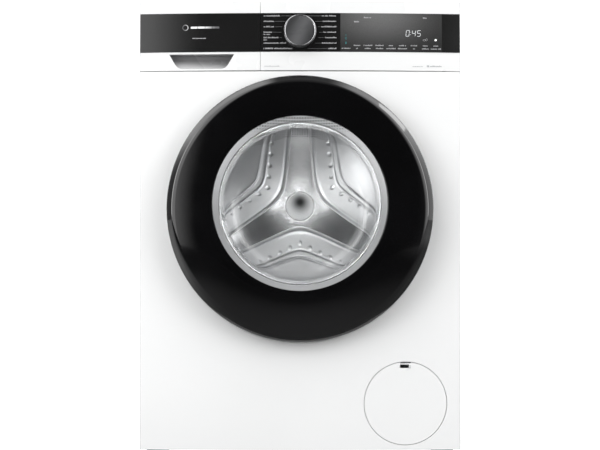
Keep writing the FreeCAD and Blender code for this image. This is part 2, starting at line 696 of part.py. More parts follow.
def door_latch_hook():
    barrel = rod_z(LATCH_X, LATCH_Y, 5, DOOR_Z - 12, DOOR_Z + 12)
    pin = rod_z(LATCH_X, LATCH_Y, 3, DOOR_Z - 16, DOOR_Z + 16)
    hook = prism_z([(LATCH_X - 4, LATCH_Y), (LATCH_X + 4, LATCH_Y), (LATCH_X + 4, -255), (LATCH_X + 8, -255),
                    (LATCH_X + 8, -251), (LATCH_X, -246), (LATCH_X - 4, -246)], DOOR_Z - 10, DOOR_Z + 10)
    return fused([barrel, pin, hook])


def door_lock():
    body = block(192.5, 240, RECESS_Y + 1.5, -228, DOOR_Z - 32, DOOR_Z + 32)
    throat = block(196.5, 222, RECESS_Y, -239, DOOR_Z - 18, DOOR_Z + 18)
    return body.cut(throat)


def door_gasket():
    """Rubber bellows from the front panel's opening to the tub's mouth."""
    outline = [
        (160, -265), (163, -266), (187.6, -266), (187.6, -260), (190.5, -260), (190.5, -257),
        (184, -257), (171, -249.5), (187.5, -240), (187.5, -237), (182, -233), (182, -214), (176.4, -214),
        (176.4, -234), (182, -238.5), (166, -248), (166, -251), (180, -259.5), (180, -262.5), (161, -262),
    ]
    return turned(outline, GLASS_Z)


# ---------------------------------------------------------------- service flap and pump

def service_flap():
    """Round cover with a coin slot at its top and two snap tongues behind."""
    disc = bow_slab(SERVICE_X - 90, SERVICE_X + 90, SERVICE_Z - 90, SERVICE_Z + 90, 0, 2.5)
    disc = disc.common(rod_y(SERVICE_X, SERVICE_Z, FLAP_R, -290, -240))
    coin_slot = block(SERVICE_X - 10.2, SERVICE_X + 6.1, -290, -240, 164, 170.4)
    tongues = []
    for z0 in (SERVICE_Z - 66, SERVICE_Z + 58):
        tongues.append(block(SERVICE_X - 9, SERVICE_X + 9, -266, -250, z0, z0 + 2.5))
    behind = bow_slab(SERVICE_X - 40, SERVICE_X + 40, 20, 180, -8, 1)
    return fused([disc.cut(coin_slot)] + [tongue.cut(behind) for tongue in tongues])


def service_bay():
    """Round plastic well behind the flap."""
    wall = pipe_y(SERVICE_X, SERVICE_Z, 81.5, 79.5, -256, -205)
    back = pipe_y(SERVICE_X, SERVICE_Z, 81.5, 36, -208, -205)
    return fused([wall, back])


def pump_housing():
    solids = [
        rod_y(SERVICE_X, SERVICE_Z, 35.5, -204.5, -124),
        rod_y(SERVICE_X, SERVICE_Z, 30, -124, -60),
        block(SERVICE_X - 16, SERVICE_X + 16, -190, -70, 16.4, SERVICE_Z - 20),
        rod_x(-110, 105, 15, SERVICE_X - 46, SERVICE_X - 20),
        rod_x(-95, SERVICE_Z, 9, SERVICE_X + 20, SERVICE_X + 40),
    ]
    cavities = [
        rod_y(SERVICE_X, SERVICE_Z, PUMP_BORE_R, -206, -142),
        rod_y(SERVICE_X, SERVICE_Z, 23, -142, -128),
        rod_y(SERVICE_X, SERVICE_Z, 3 + RUNNING, -128, -90),
    ]
    return fused(solids).cut(group(cavities))


def pump_filter():
    """Screwed plug with a grip bar in front and a lint basket behind."""
    plug = rod_y(SERVICE_X, SERVICE_Z, PUMP_BORE_R - RUNNING, -204.8, -190)
    cap = rod_y(SERVICE_X, SERVICE_Z, 34.5, -214, -204.8)
    grip = block(SERVICE_X - 28, SERVICE_X + 28, -227, -214, SERVICE_Z - 4, SERVICE_Z + 4)
    basket = pipe_y(SERVICE_X, SERVICE_Z, 26, 23.5, -190, -150).fuse(rod_y(SERVICE_X, SERVICE_Z, 26, -152, -149))
    slots = []
    for i in range(8):
        slot = block(SERVICE_X - 3, SERVICE_X + 3, -184, -156, SERVICE_Z + 18, SERVICE_Z + 30)
        slot.rotate(V(SERVICE_X, 0, SERVICE_Z), Y_AXIS, 45 * i)
        slots.append(slot)
    return fused([plug, cap, grip, basket]).cut(group(slots))


def pump_impeller():
    disc = rod_y(SERVICE_X, SERVICE_Z, 19, -132, -129.5)
    shaft = rod_y(SERVICE_X, SERVICE_Z, 3, -132, -95)
    vanes = []
    for i in range(4):
        vane = block(SERVICE_X + 3, SERVICE_X + 18, -140, -132, SERVICE_Z - 0.8, SERVICE_Z + 0.8)
        vane.rotate(V(SERVICE_X, 0, SERVICE_Z), Y_AXIS, 90 * i)
        vanes.append(vane)
    hub = rod_y(SERVICE_X, SERVICE_Z, 5, -140, -132)
    return fused([disc, shaft, hub] + vanes)


# ---------------------------------------------------------------- tub

SUMP_HALF = 75.0
EAR_X = 232.0
DAMPER_X = 185.0
DAMPER_Y = 30.0


def tub_hollow(y0, y1):
    """Space inside the tub: the drum's room and the heater's sump below it."""
    sump = block(-SUMP_HALF + 5, SUMP_HALF - 5, max(y0, -145), min(y1, 166), 194, 300)
    return rod_y(0, AXIS_Z, TUB_IN, y0, y1).fuse(sump)


def tub_skin(y0, y1):
    sump = block(-SUMP_HALF, SUMP_HALF, max(y0, -150), min(y1, 172), 189, 300)
    return rod_y(0, AXIS_Z, TUB_OUT, y0, y1).fuse(sump)


def tub_front():
    skin = tub_skin(TUB_Y0, TUB_SPLIT)
    flange = rod_y(0, AXIS_Z, TUB_FLANGE, TUB_SPLIT - 6, TUB_SPLIT)
    lip = rod_y(0, AXIS_Z, 176, TUB_Y0 - 14, TUB_Y0)
    neck = rod_z(-150, -60, 15, 670, 704)
    outlet = rod_z(60, -110, 15, 178, 200)
    ribs = [pipe_y(0, AXIS_Z, 226, 223, TUB_Y0 - 0.1, TUB_Y0 + 1)]
    solid = fused([skin, flange, lip, neck, outlet] + ribs)
    solid = solid.cut(tub_hollow(TUB_Y0 + TUB_WALL, TUB_SPLIT + 1))
    solid = solid.cut(rod_y(0, AXIS_Z, TUB_MOUTH_R, TUB_Y0 - 20, TUB_Y0 + 20))
    return solid.cut(group([rod_z(-150, -60, 12.5, 660, 710), rod_z(60, -110, 12, 170, 200)]))


def tub_rear():
    skin = tub_skin(TUB_SPLIT, TUB_Y1)
    flange = rod_y(0, AXIS_Z, TUB_FLANGE, TUB_SPLIT, TUB_SPLIT + 6)
    hub = rod_y(0, AXIS_Z, 42, TUB_Y1 - 2, 218)
    ribs = []
    for i in range(12):
        rib = block(40, TUB_OUT - 2, TUB_Y1 - 1, TUB_Y1 + 12, AXIS_Z - 2, AXIS_Z + 2)
        ribs.append(turned_about_axis(rib, 15 + 30 * i))
    solid = fused([skin, flange, hub] + ribs)
    solid = solid.fuse(group([block(min(s * 218, s * 246), max(s * 218, s * 246), 31, 49, 590, 640) for s in (-1, 1)]))
    lug_x = [s * DAMPER_X for s in (-1, 1)]
    solid = solid.fuse(group([block(x - 9, x + 9, DAMPER_Y - 9, DAMPER_Y + 9, 250, 290) for x in lug_x]))
    solid = solid.cut(tub_hollow(TUB_SPLIT - 1, TUB_Y1 - TUB_WALL))
    bores = [
        rod_y(0, AXIS_Z, BEARING_R, TUB_Y1 - 2, 192),
        rod_y(0, AXIS_Z, 22, TUB_Y1 - 10, 219),
        rod_y(0, AXIS_Z, BEARING_R, 204, 219),
        block(-35, 35, TUB_Y1 - 15, TUB_Y1 + 1, 197, 209),
    ]
    return solid.cut(group(bores)).removeSplitter()


def main_bearings():
    """Two ball bearings in the tub's hub, pressed between the hub and the shaft."""
    bore = SHAFT_R + 0.03
    front = pipe_y(0, AXIS_Z, BEARING_R, bore, TUB_Y1 - 2, 192)
    rear = pipe_y(0, AXIS_Z, BEARING_R, bore, 204, 218)
    return group([front, rear])


def heater():
    """Tubular element: two loops lying in the sump, with its plug plate behind the tub."""
    r = 3.8
    z = 203.0
    legs = []
    for x in (-27, 27):
        legs.append(rod_y(x, z, r, -108, TUB_Y1 + 0.2))
    bend = Part.makeTorus(27, r, V(0, -108, z), Z_AXIS)
    half = bend.common(block(-40, 40, -150, -108, z - 10, z + 10))
    plate = block(-39, 39, TUB_Y1 + 0.1, TUB_Y1 + 4, 196.4, 209.6)
    blades = [block(x - 3, x + 3, TUB_Y1 + 4, TUB_Y1 + 16, z - 0.5, z + 0.5) for x in (-27, 0, 27)]
    return fused(legs + [half, plate] + blades)


def counterweight_front():
    """Two concrete arcs on the tub's front wall, open at the hinge and lock sides."""
    ring = pipe_y(0, AXIS_Z, 260, 195, -242, TUB_Y0 - 0.1)
    wedge = [(0, AXIS_Z)]
    for a in (28, 60, 90, 120, 152):
        wedge.append((500 * math.cos(math.radians(a)), AXIS_Z + 500 * math.sin(math.radians(a))))
    upper = ring.common(prism_y(wedge, -260, -200))
    return group([upper, upper.mirror(V(0, 0, AXIS_Z), Z_AXIS)])


def counterweight_top():
    slab = block(-80, 160, -190, 110, 726, 785)
    edges = [e for e in slab.Edges if e.BoundBox.ZLength > 50]
    slab = slab.makeFillet(15, edges)
    saddle = rod_y(0, AXIS_Z, TUB_OUT + 0.1, -200, 120)
    groove = rod_y(0, AXIS_Z, TUB_FLANGE + 0.3, TUB_SPLIT - 7, TUB_SPLIT + 7)
    return slab.cut(saddle).cut(groove)


def suspension_springs():
    """Two coil springs from the side panels' hangers down to the tub's ears."""
    wire = 2.0
    coil_r = 9.5
    bottom = 640.2 + wire
    top = 802.8 - wire
    turns = 18
    springs = []
    for x in (-EAR_X, EAR_X):
        spine = Part.makeHelix((top - bottom) / turns, top - bottom, coil_r)
        ring = Part.Wire(Part.makeCircle(wire, V(coil_r, 0, 0), V(0, 1, 0)))
        coil = Part.Wire(spine).makePipeShell([ring], True, True)
        coil.translate(V(x, 40, bottom))
        springs.append(coil)
    return group(springs)


def damper_cylinders():
    cylinders = []
    for x in (-DAMPER_X, DAMPER_X):
        tube = pipe_z(x, DAMPER_Y, 13, 10, 24, 165)
        base = block(x - 13, x + 13, DAMPER_Y - 13, DAMPER_Y + 13, 16.4, 28)
        cylinders.append(fused([tube, base]).cut(rod_z(x, DAMPER_Y, 10, 28, 170)))
    return group(cylinders)


def damper_rods():
    rods = []
    for x in (-DAMPER_X, DAMPER_X):
        head = rod_z(x, DAMPER_Y, 10 - RUNNING, 80, 150)
        rods.append(fused([head, rod_z(x, DAMPER_Y, 6, 150, 250)]))
    return group(rods)


# ---------------------------------------------------------------- drum

SPIDER_ANGLES = (90, 210, 330)


def drum_shell():
    """Rolled wall with the pressed front ring and its rolled mouth."""
    inner = DRUM_R - DRUM_SHEET
    outline = [
        (DRUM_MOUTH_R, -198), (DRUM_MOUTH_R + 1.5, -199), (DRUM_MOUTH_R + 3, -198), (DRUM_MOUTH_R + 3, DRUM_Y0),
        (DRUM_R - 8, DRUM_Y0), (DRUM_R, DRUM_Y0 + 8), (DRUM_R, DRUM_Y1), (inner, DRUM_Y1),
        (inner, DRUM_Y0 + 8.5), (DRUM_R - 8.5, DRUM_Y0 + DRUM_SHEET), (DRUM_MOUTH_R, DRUM_Y0 + DRUM_SHEET),
    ]
    return turned(outline, AXIS_Z)


def drum_back():
    """Pressed disc with a raised three-arm star and a round boss at its centre."""
    disc = rod_y(0, AXIS_Z, DRUM_R - DRUM_SHEET - 0.1, DRUM_BACK_Y, DRUM_BACK_Y + 1.5)
    arms = []
    for angle in SPIDER_ANGLES:
        arm = block(0, 200, DRUM_BACK_Y - 3, DRUM_BACK_Y, AXIS_Z - 30.5, AXIS_Z + 30.5)
        arms.append(turned_about_axis(arm, -angle))
    boss = rod_y(0, AXIS_Z, 34, DRUM_BACK_Y - 3, DRUM_BACK_Y)
    cap = turned([(0, DRUM_BACK_Y - 5), (10, DRUM_BACK_Y - 5), (27, DRUM_BACK_Y - 9), (30.5, DRUM_BACK_Y - 8),
                  (30.5, DRUM_BACK_Y - 3), (0, DRUM_BACK_Y - 3)], AXIS_Z)
    return fused([disc, boss, cap] + arms)


def drum_lifters():
    """Three paddles between the arms of the star."""
    base = 244.5
    outline = [(base, -29), (base, 29), (base - 6, 29), (base - 38, 9), (base - 43, 3), (base - 43, -3),
               (base - 38, -9), (base - 6, -29)]
    lifters = []
    for angle in SPIDER_ANGLES:
        paddle = prism_y([(r, AXIS_Z + t) for r, t in outline], -160, 118)
        lifters.append(turned_about_axis(paddle, -(angle + 60)))
    return group(lifters)


def drum_spider():
    """Cast cross with the drum's shaft."""
    hub = rod_y(0, AXIS_Z, 32, 143, 168)
    arms = []
    for angle in SPIDER_ANGLES:
        arm = prism_y([(20, AXIS_Z - 24), (20, AXIS_Z + 24), (236, AXIS_Z + 14), (236, AXIS_Z - 14)], 143, 158)
        arms.append(turned_about_axis(arm, -angle))
    shaft = rod_y(0, AXIS_Z, SHAFT_R, 168, 262)
    pads = []
    for angle in SPIDER_ANGLES:
        pad = block(190, 232, DRUM_BACK_Y + 1.5, 143, AXIS_Z - 12, AXIS_Z + 12)
        pads.append(turned_about_axis(pad, -angle))
    return fused([hub, shaft] + arms + pads)


def drum_pulley():
    rim = pipe_y(0, AXIS_Z, PULLEY_R, PULLEY_R - 9, PULLEY_Y0, PULLEY_Y1)
    hub = rod_y(0, AXIS_Z, 26, PULLEY_Y0, PULLEY_Y1)
    spokes = []
    for i in range(5):
        spoke = block(20, PULLEY_R - 6, PULLEY_Y0 + 3, PULLEY_Y1 - 3, AXIS_Z - 11, AXIS_Z + 11)
        spokes.append(turned_about_axis(spoke, 72 * i))
    return fused([rim, hub] + spokes).cut(rod_y(0, AXIS_Z, SHAFT_R, PULLEY_Y0 - 1, PULLEY_Y1 + 1))


# ---------------------------------------------------------------- motor and belt

def motor_housing():
    can = rod_y(MOTOR_X, MOTOR_Z, MOTOR_R, 100, 222)
    shield = rod_y(MOTOR_X, MOTOR_Z, MOTOR_R - 12, 222, 232)
    fins = []
    for i in range(24):
        fin = block(MOTOR_X + MOTOR_R - 3, MOTOR_X + MOTOR_R + 3, 112, 210, MOTOR_Z - 1.2, MOTOR_Z + 1.2)
        fin.rotate(V(MOTOR_X, 0, MOTOR_Z), Y_AXIS, 15 * i)
        fins.append(fin)
    lugs = [block(MOTOR_X - 45, MOTOR_X + 45, y, y + 16, MOTOR_Z + 30, 250) for y in (108, 160)]
    solid = fused([can, shield] + fins + lugs)
    solid = solid.cut(rod_y(0, AXIS_Z, TUB_OUT + 0.1, 90, 240))
    solid = solid.cut(block(-100, SUMP_HALF + 0.3, 90, 240, 185, 260))
    bore = rod_y(MOTOR_X, MOTOR_Z, 5 + RUNNING, 108, 240)
    rotor_room = rod_y(MOTOR_X, MOTOR_Z, 33, 114, 212)
    return solid.cut(bore).cut(rotor_room)


def motor_rotor():
    shaft = rod_y(MOTOR_X, MOTOR_Z, 5, 109, PULLEY_Y1 + 2)
    armature = rod_y(MOTOR_X, MOTOR_Z, 32, 120, 206)
    pulley = rod_y(MOTOR_X, MOTOR_Z, MOTOR_PULLEY_R, PULLEY_Y0, PULLEY_Y1)
    flange = rod_y(MOTOR_X, MOTOR_Z, 16, PULLEY_Y0 - 2, PULLEY_Y0)
    return fused([shaft, armature, pulley, flange])


def belt_loop(grow, y0, y1):
    """Solid hull of the two pulleys, grown by a margin."""
    big, small = PULLEY_R + grow, MOTOR_PULLEY_R + grow
    a, b = V(0, 0, AXIS_Z), V(MOTOR_X, 0, MOTOR_Z)
    along = (b - a).normalize()
    across = V(-along.z, 0, along.x)
    lean_angle = math.acos((big - small) / a.distanceToPoint(b))
    corners = []
    for centre, r, side in ((a, big, 1), (b, small, 1), (b, small, -1), (a, big, -1)):
        direction = along * math.cos(lean_angle) + across * (side * math.sin(lean_angle))
        p = centre + direction * r
        corners.append((p.x, p.z))
    return fused([prism_y(corners, y0, y1), rod_y(0, AXIS_Z, big, y0, y1), rod_y(MOTOR_X, MOTOR_Z, small, y0, y1)])


def drive_belt():
    y0, y1 = PULLEY_Y0 + 1, PULLEY_Y1 - 1
    return belt_loop(4.3, y0, y1).cut(belt_loop(GAP, y0 - 1, y1 + 1))


# ---------------------------------------------------------------- all pieces

def pieces():
    nodes = {
        "front_panel": front_panel(),
        "side_panel_left": side_panel(-1),
        "side_panel_right": side_panel(1),
        "rear_panel": rear_panel(),
        "rear_access_cover": rear_access_cover(),
        "cabinet_screws": cabinet_screws(),
        "transit_bolt_caps": transit_bolt_caps(),
        "worktop": worktop(),
        "base_tray": base_tray(),
        "cross_rails": cross_rails(),
        "control_fascia": control_fascia(),
        "control_band": control_band(),
        "control_board": control_board(),
        "programme_knob": programme_knob(),
        "knob_ring": knob_ring(),
        "drawer_front": drawer_front(),
        "drawer_band": drawer_band(),
        "drawer_tray": drawer_tray(),
        "siphon_cover": siphon_cover(),
        "dispenser_housing": dispenser_housing(),
        "dispenser_hose": dispenser_hose(),
        "inlet_valve": inlet_valve(),
        "fill_hose": fill_hose(),
        "cable_gland": cable_gland(),
        "drain_hose": drain_hose(),
        "sump_hose": sump_hose(),
        "hinge_bracket": hinge_bracket(),
        "door_hinge_arm": door_hinge_arm(),
        "door_ring": door_ring(),
        "door_glass": door_glass(),
        "door_inner_frame": door_inner_frame(),
        "door_latch_hook": door_latch_hook(),
        "door_lock": door_lock(),
        "door_gasket": door_gasket(),
        "service_flap": service_flap(),
        "service_bay": service_bay(),
        "pump_housing": pump_housing(),
        "pump_filter": pump_filter(),
        "pump_impeller": pump_impeller(),
        "tub_front": tub_front(),
        "tub_rear": tub_rear(),
        "main_bearings": main_bearings(),
        "heater": heater(),
        "counterweight_front": counterweight_front(),
        "counterweight_top": counterweight_top(),
        "suspension_springs": suspension_springs(),
        "damper_cylinders": damper_cylinders(),
        "damper_rods": damper_rods(),
        "drum_shell": drum_shell(),
        "drum_back": drum_back(),
        "drum_lifters": drum_lifters(),
        "drum_spider": drum_spider(),
        "drum_pulley": drum_pulley(),
        "motor_housing": motor_housing(),
        "motor_rotor": motor_rotor(),
        "drive_belt": drive_belt(),
    }
    for name, (x, y) in FOOT_SPOTS.items():
        nodes[name] = foot(x, y)
    return nodes


def main():
    os.makedirs("parts", exist_ok=True)
    for name, shape in pieces().items():
        print(name, "solids", len(shape.Solids), "valid", shape.isValid(), "volume", round(shape.Volume))
        shape.exportStep("parts/" + name + ".step")


main()
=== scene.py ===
import json
import math
import random

import bmesh
import bpy
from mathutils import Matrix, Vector

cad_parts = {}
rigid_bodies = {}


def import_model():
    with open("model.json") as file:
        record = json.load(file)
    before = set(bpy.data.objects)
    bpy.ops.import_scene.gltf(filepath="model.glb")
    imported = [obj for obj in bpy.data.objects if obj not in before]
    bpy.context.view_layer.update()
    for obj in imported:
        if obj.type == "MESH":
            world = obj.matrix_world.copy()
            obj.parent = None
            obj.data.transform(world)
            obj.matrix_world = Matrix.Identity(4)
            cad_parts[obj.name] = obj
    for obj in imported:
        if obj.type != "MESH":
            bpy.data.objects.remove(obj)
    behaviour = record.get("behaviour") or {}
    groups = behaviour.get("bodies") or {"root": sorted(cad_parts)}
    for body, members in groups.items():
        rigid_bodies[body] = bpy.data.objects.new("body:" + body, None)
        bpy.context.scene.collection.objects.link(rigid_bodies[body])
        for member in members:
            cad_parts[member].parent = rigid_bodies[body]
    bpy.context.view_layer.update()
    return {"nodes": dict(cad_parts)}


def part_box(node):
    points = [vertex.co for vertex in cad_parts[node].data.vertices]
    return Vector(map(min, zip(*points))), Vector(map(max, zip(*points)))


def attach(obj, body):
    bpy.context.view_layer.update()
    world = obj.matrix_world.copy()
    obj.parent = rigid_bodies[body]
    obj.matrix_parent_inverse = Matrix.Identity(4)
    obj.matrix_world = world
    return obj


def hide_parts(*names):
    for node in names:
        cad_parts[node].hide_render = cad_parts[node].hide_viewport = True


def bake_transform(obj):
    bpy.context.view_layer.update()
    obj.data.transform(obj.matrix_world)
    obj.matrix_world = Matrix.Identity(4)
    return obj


# Front load washing machine, in metres, in the CAD's frame: +X right, the front faces -Y, +Z up.

for thing in list(bpy.data.objects):
    bpy.data.objects.remove(thing)
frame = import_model()

# ---------------------------------------------------------------- sizes, from the frame

PANEL_LO, PANEL_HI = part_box("front_panel")
FRONT = PANEL_LO.y                      # foremost line of the bowed front
HALF_W = PANEL_HI.x
BOW_RISE = 0.012
BOW_R = (HALF_W ** 2 + BOW_RISE ** 2) / (2 * BOW_RISE)
LEAN = math.radians(4)                  # the control panel leans back
FASCIA_Z0 = 0.716
SEAM_X = (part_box("drawer_front")[1].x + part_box("control_fascia")[0].x) / 2
BAND_PROUD = 0.0006
BAND_Z0 = 0.7506
BAND_Z1 = 0.8231
BAND_FACE = BAND_PROUD + 0.0001         # where marks on the band start
KNOB_Z = 0.787
KNOB_R = 0.0299
KNOB_FACE = 0.0200                      # how far the knob stands proud of the panel
DISPLAY_X0 = 0.075
DISPLAY_X1 = 0.264

DOOR_LO, DOOR_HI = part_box("door_ring")
DOOR_Z = (DOOR_LO.z + DOOR_HI.z) / 2
DOOR_R = (DOOR_HI.z - DOOR_LO.z) / 2
DOOR_Y = DOOR_LO.y
WINDOW_R = 0.1608                       # opening of the gloss ring
GLASS_LO, GLASS_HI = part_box("door_glass")
AXIS_Z = (GLASS_LO.z + GLASS_HI.z) / 2
BACK_LO, BACK_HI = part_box("drum_back")
DRUM_LO, DRUM_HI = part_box("drum_shell")
DRUM_R = (DRUM_HI.z - DRUM_LO.z) / 2
SHEET = 0.0012
STAR_ANGLES = (90, 210, 330)
STAR_VERTEX = 0.0478                    # from the axis to the bend of each field between two arms
STAR_OPENING = 63.5
STAR_ROUNDING = 0.0275
FIELD_INNER = (0.0935, 66.0, 0.014)     # bend, opening and rounding of the two nested ridges in each field
FIELD_OUTER = (0.1060, 68.0, 0.014)
BACK_Y = 0.137                          # plane of the drum's back before it is pressed


# ---------------------------------------------------------------- node materials

class Nodes:
    """Short ways to build a node tree."""

    def __init__(self, tree):
        self.tree = tree

    def node(self, kind, **settings):
        made = self.tree.nodes.new(kind)
        for key, value in settings.items():
            setattr(made, key, value)
        return made

    def put(self, target, value):
        """Links a socket to an input, or sets the input to a value."""
        if isinstance(value, bpy.types.NodeSocket):
            self.tree.links.new(value, target)
        else:
            target.default_value = value

    def feed(self, made, **inputs):
        for socket, value in inputs.items():
            self.put(made.inputs[socket.replace("_", " ")], value)
        return made

    def calc(self, operation, a, b=0.0, c=0.0):
        made = self.node("ShaderNodeMath", operation=operation)
        for target, value in zip(made.inputs, (a, b, c)):
            self.put(target, value)
        return made.outputs[0]

    def times(self, a, b):
        return self.calc("MULTIPLY", a, b)

    def span(self, value, low, high, to_low=0.0, to_high=1.0):
        made = self.node("ShaderNodeMapRange", interpolation_type="SMOOTHSTEP")
        self.feed(made, Value=value, From_Min=low, From_Max=high, To_Min=to_low, To_Max=to_high)
        return made.outputs["Result"]

    def blend(self, factor, first, second):
        """Number between two others."""
        made = self.node("ShaderNodeMix")
        for key, value in ((0, factor), (2, first), (3, second)):
            self.put(made.inputs[key], value)
        return made.outputs[0]


class Look(Nodes):
    """One node material: a Principled shader with procedural colour, roughness and relief."""

    def __init__(self, name, colour, roughness, metallic=0.0, **sockets):
        self.name = name
        self.material = bpy.data.materials.new(name)
        self.material.use_nodes = True
        super().__init__(self.material.node_tree)
        self.shader = self.tree.nodes["Principled BSDF"]
        self.colour = colour
        self.roughness = roughness
        self.feed(self.shader, Base_Color=(*colour, 1), Roughness=roughness, Metallic=metallic, **sockets)
        self.place = self.node("ShaderNodeTexCoord").outputs["Object"]

    def stretched(self, scale):
        made = self.feed(self.node("ShaderNodeMapping"), Vector=self.place, Scale=scale)
        return made.outputs["Vector"]

    def fed(self, socket):
        """What feeds a socket of the shader so far."""
        return self.shader.inputs[socket].links[0].from_socket

    def noise(self, scale, detail=3.0, stretch=None):
        where = self.stretched(stretch) if stretch else self.place
        made = self.feed(self.node("ShaderNodeTexNoise"), Vector=where, Scale=scale, Detail=detail)
        return made.outputs["Fac"]

    def cells(self, scale, output="Color"):
        made = self.feed(self.node("ShaderNodeTexVoronoi"), Vector=self.place, Scale=scale)
        return made.outputs[output]

    def bell(self, value, centre, width):
        """1 at the centre, falling away on both sides."""
        away = self.calc("DIVIDE", self.calc("SUBTRACT", value, centre), width)
        return self.calc("EXPONENT", self.times(self.times(away, away), -1.0))

    def distance(self, a, b):
        return self.calc("SQRT", self.calc("MULTIPLY_ADD", a, a, self.times(b, b)))

    def rings(self, radius, scale, detail):
        """Fine lines round the drum's axis."""
        made = self.node("ShaderNodeTexNoise", noise_dimensions="1D")
        return self.feed(made, W=radius, Scale=scale, Detail=detail).outputs["Fac"]

    def xyz(self):
        return self.feed(self.node("ShaderNodeSeparateXYZ"), Vector=self.place).outputs

    def blend_colours(self, factor, first, second):
        made = self.node("ShaderNodeMix", data_type="RGBA")
        self.put(made.inputs[0], factor)
        for key, value in ((6, first), (7, second)):
            self.put(made.inputs[key], value if isinstance(value, bpy.types.NodeSocket) else (*value, 1))
        return made.outputs[2]

    def paint(self, factor, first, second):
        self.feed(self.shader, Base_Color=self.blend_colours(factor, first, second))
        return self

    def overlay(self, factor, colour):
        """Lays a colour over what is there."""
        return self.paint(factor, self.fed("Base Color"), colour)

    def grey(self, value):
        made = self.feed(self.node("ShaderNodeCombineColor"), Red=value, Green=value, Blue=value)
        return made.outputs["Color"]

    def surface(self, factor, first, second):
        """Puts a mix of two shaders on the surface."""
        mix = self.node("ShaderNodeMixShader")
        for socket, value in zip(mix.inputs, (factor, first, second)):
            self.tree.links.new(value, socket)
        self.tree.links.new(mix.outputs[0], self.tree.nodes["Material Output"].inputs["Surface"])
        return mix.outputs[0]

    def mottle(self, amount, scale, stretch=None):
        """Colour that wanders a little either side of the base."""
        darker = tuple(max(0.0, c * (1 - amount)) for c in self.colour)
        lighter = tuple(min(1.0, c * (1 + amount)) for c in self.colour)
        wander = self.span(self.noise(scale, 4.0, stretch), 0.3, 0.7)
        return self.paint(wander, darker, lighter)

    def sheen_patches(self, spread, scale, stretch=None):
        """Roughness that wanders either side of the base."""
        low, high = max(0.02, self.roughness - spread), min(1.0, self.roughness + spread)
        self.feed(self.shader, Roughness=self.span(self.noise(scale, 3.0, stretch), 0.3, 0.7, low, high))
        return self

    def relief(self, height, depth, strength=1.0):
        bump = self.feed(self.node("ShaderNodeBump"), Height=height, Distance=depth, Strength=strength)
        self.feed(self.shader, Normal=bump.outputs["Normal"])
        return self


def enamel(name, colour, roughness=0.32):
    """Stoved paint or moulded gloss with a faint orange peel."""
    look = Look(name, colour, roughness, Coat_Weight=0.25, Coat_Roughness=0.12)
    look.mottle(0.012, 3.0).sheen_patches(0.04, 9.0)
    return look.relief(look.noise(420.0, 2.0), 0.00004)


def paint_edge_shade(look, lean):
    """Paints shade (painted shade) on the rounded upright edges of the bowed face; returns the depth of each
    place behind that face.
    """
    x, y, z = look.xyz()
    flat = look.calc("SQRT", look.calc("MULTIPLY_ADD", x, look.times(x, -1.0), BOW_R ** 2))
    leaning = look.calc("MULTIPLY_ADD", z, -math.tan(lean), FASCIA_Z0 * math.tan(lean) - FRONT - BOW_R)
    depth = look.calc("ADD", look.calc("ADD", y, leaning), flat)
    out = look.span(look.calc("ABSOLUTE", x), HALF_W - 0.0030, HALF_W - 0.0012)
    edge = look.times(out, look.span(depth, 0.003, 0.006, 1.0, 0.0))
    # painted shade: grey laid over the colour near the rounded upright edges
    look.overlay(edge, (0.62, 0.62, 0.63))
    return depth


def body_enamel():
    look = enamel("body_white", (0.86, 0.865, 0.865))
    # painted shade on the rounded upright edges of the front
    paint_edge_shade(look, 0.0)
    return look


def panel_gloss():
    """White of the control panel with painted shade: the deeper a place lies behind the bowed face, the
    darker its painted colour, in the seam beside the drawer and in the grip's scoop.
    """
    look = enamel("panel_white", (0.80, 0.805, 0.805), 0.28)
    depth = paint_edge_shade(look, LEAN)
    seam = look.calc("ABSOLUTE", look.calc("SUBTRACT", look.xyz()[0], SEAM_X))
    gap = look.times(look.span(seam, 0.0010, 0.0018, 1.0, 0.0), look.span(depth, 0.0002, 0.0006))
    # painted shade in the seam gap between the drawer front and the fascia
    look.overlay(gap, (0.06, 0.06, 0.061))
    # painted shade in the grip's scoop, darker the deeper it lies
    look.overlay(look.span(depth, 0.0012, 0.0045), (0.50, 0.50, 0.505))
    return look.overlay(look.span(depth, 0.006, 0.0185), (0.24, 0.24, 0.243))


def knob_face():
    """Dark satin with a painted highlight: lightest along a slanting band across the face."""
    look = drawn_metal("knob_dark", (0.115, 0.117, 0.122), 0.42, (1, 1, 24))
    x, _, z = look.xyz()
    up = look.calc("SUBTRACT", z, KNOB_Z)
    # painted highlight: a lighter slanting band across the face
    band = look.bell(look.calc("MULTIPLY_ADD", up, -0.45, x), 0.0, 0.019)
    return look.paint(band, (0.050, 0.051, 0.053), (0.165, 0.167, 0.172))


def moulded(name, colour, roughness=0.45, grain=900.0, depth=0.00006, mottle=0.05):
    """Moulded plastic with a fine spark-eroded texture."""
    look = Look(name, colour, roughness)
    look.mottle(mottle, 14.0).sheen_patches(0.07, 25.0)
    return look.relief(look.noise(grain, 2.0), depth)


def rubber(name, colour):
    look = Look(name, colour, 0.62, Sheen_Weight=0.15)
    look.mottle(0.12, 30.0).sheen_patches(0.1, 60.0)
    return look.relief(look.noise(700.0, 4.0), 0.00012)


def gloss_black(name, colour):
    """High-gloss black moulding with the finest haze and dust marks."""
    look = Look(name, colour, 0.07, Coat_Weight=0.6, Coat_Roughness=0.03)
    look.mottle(0.25, 6.0).sheen_patches(0.025, 16.0)
    return look.relief(look.noise(160.0, 1.0), 0.00001)


def cast_metal(name, colour, roughness=0.5):
    look = Look(name, colour, roughness, 1.0)
    look.mottle(0.12, 40.0).sheen_patches(0.12, 70.0)
    return look.relief(look.noise(520.0, 5.0), 0.0002)


def drawn_metal(name, colour, roughness, stretch):
    """Rolled or ground metal whose fine lines run across the stretched axes."""
    look = Look(name, colour, roughness, 1.0)
    look.mottle(0.08, 60.0, stretch).sheen_patches(0.08, 90.0, stretch)
    return look.relief(look.noise(400.0, 3.0, stretch), 0.00003)


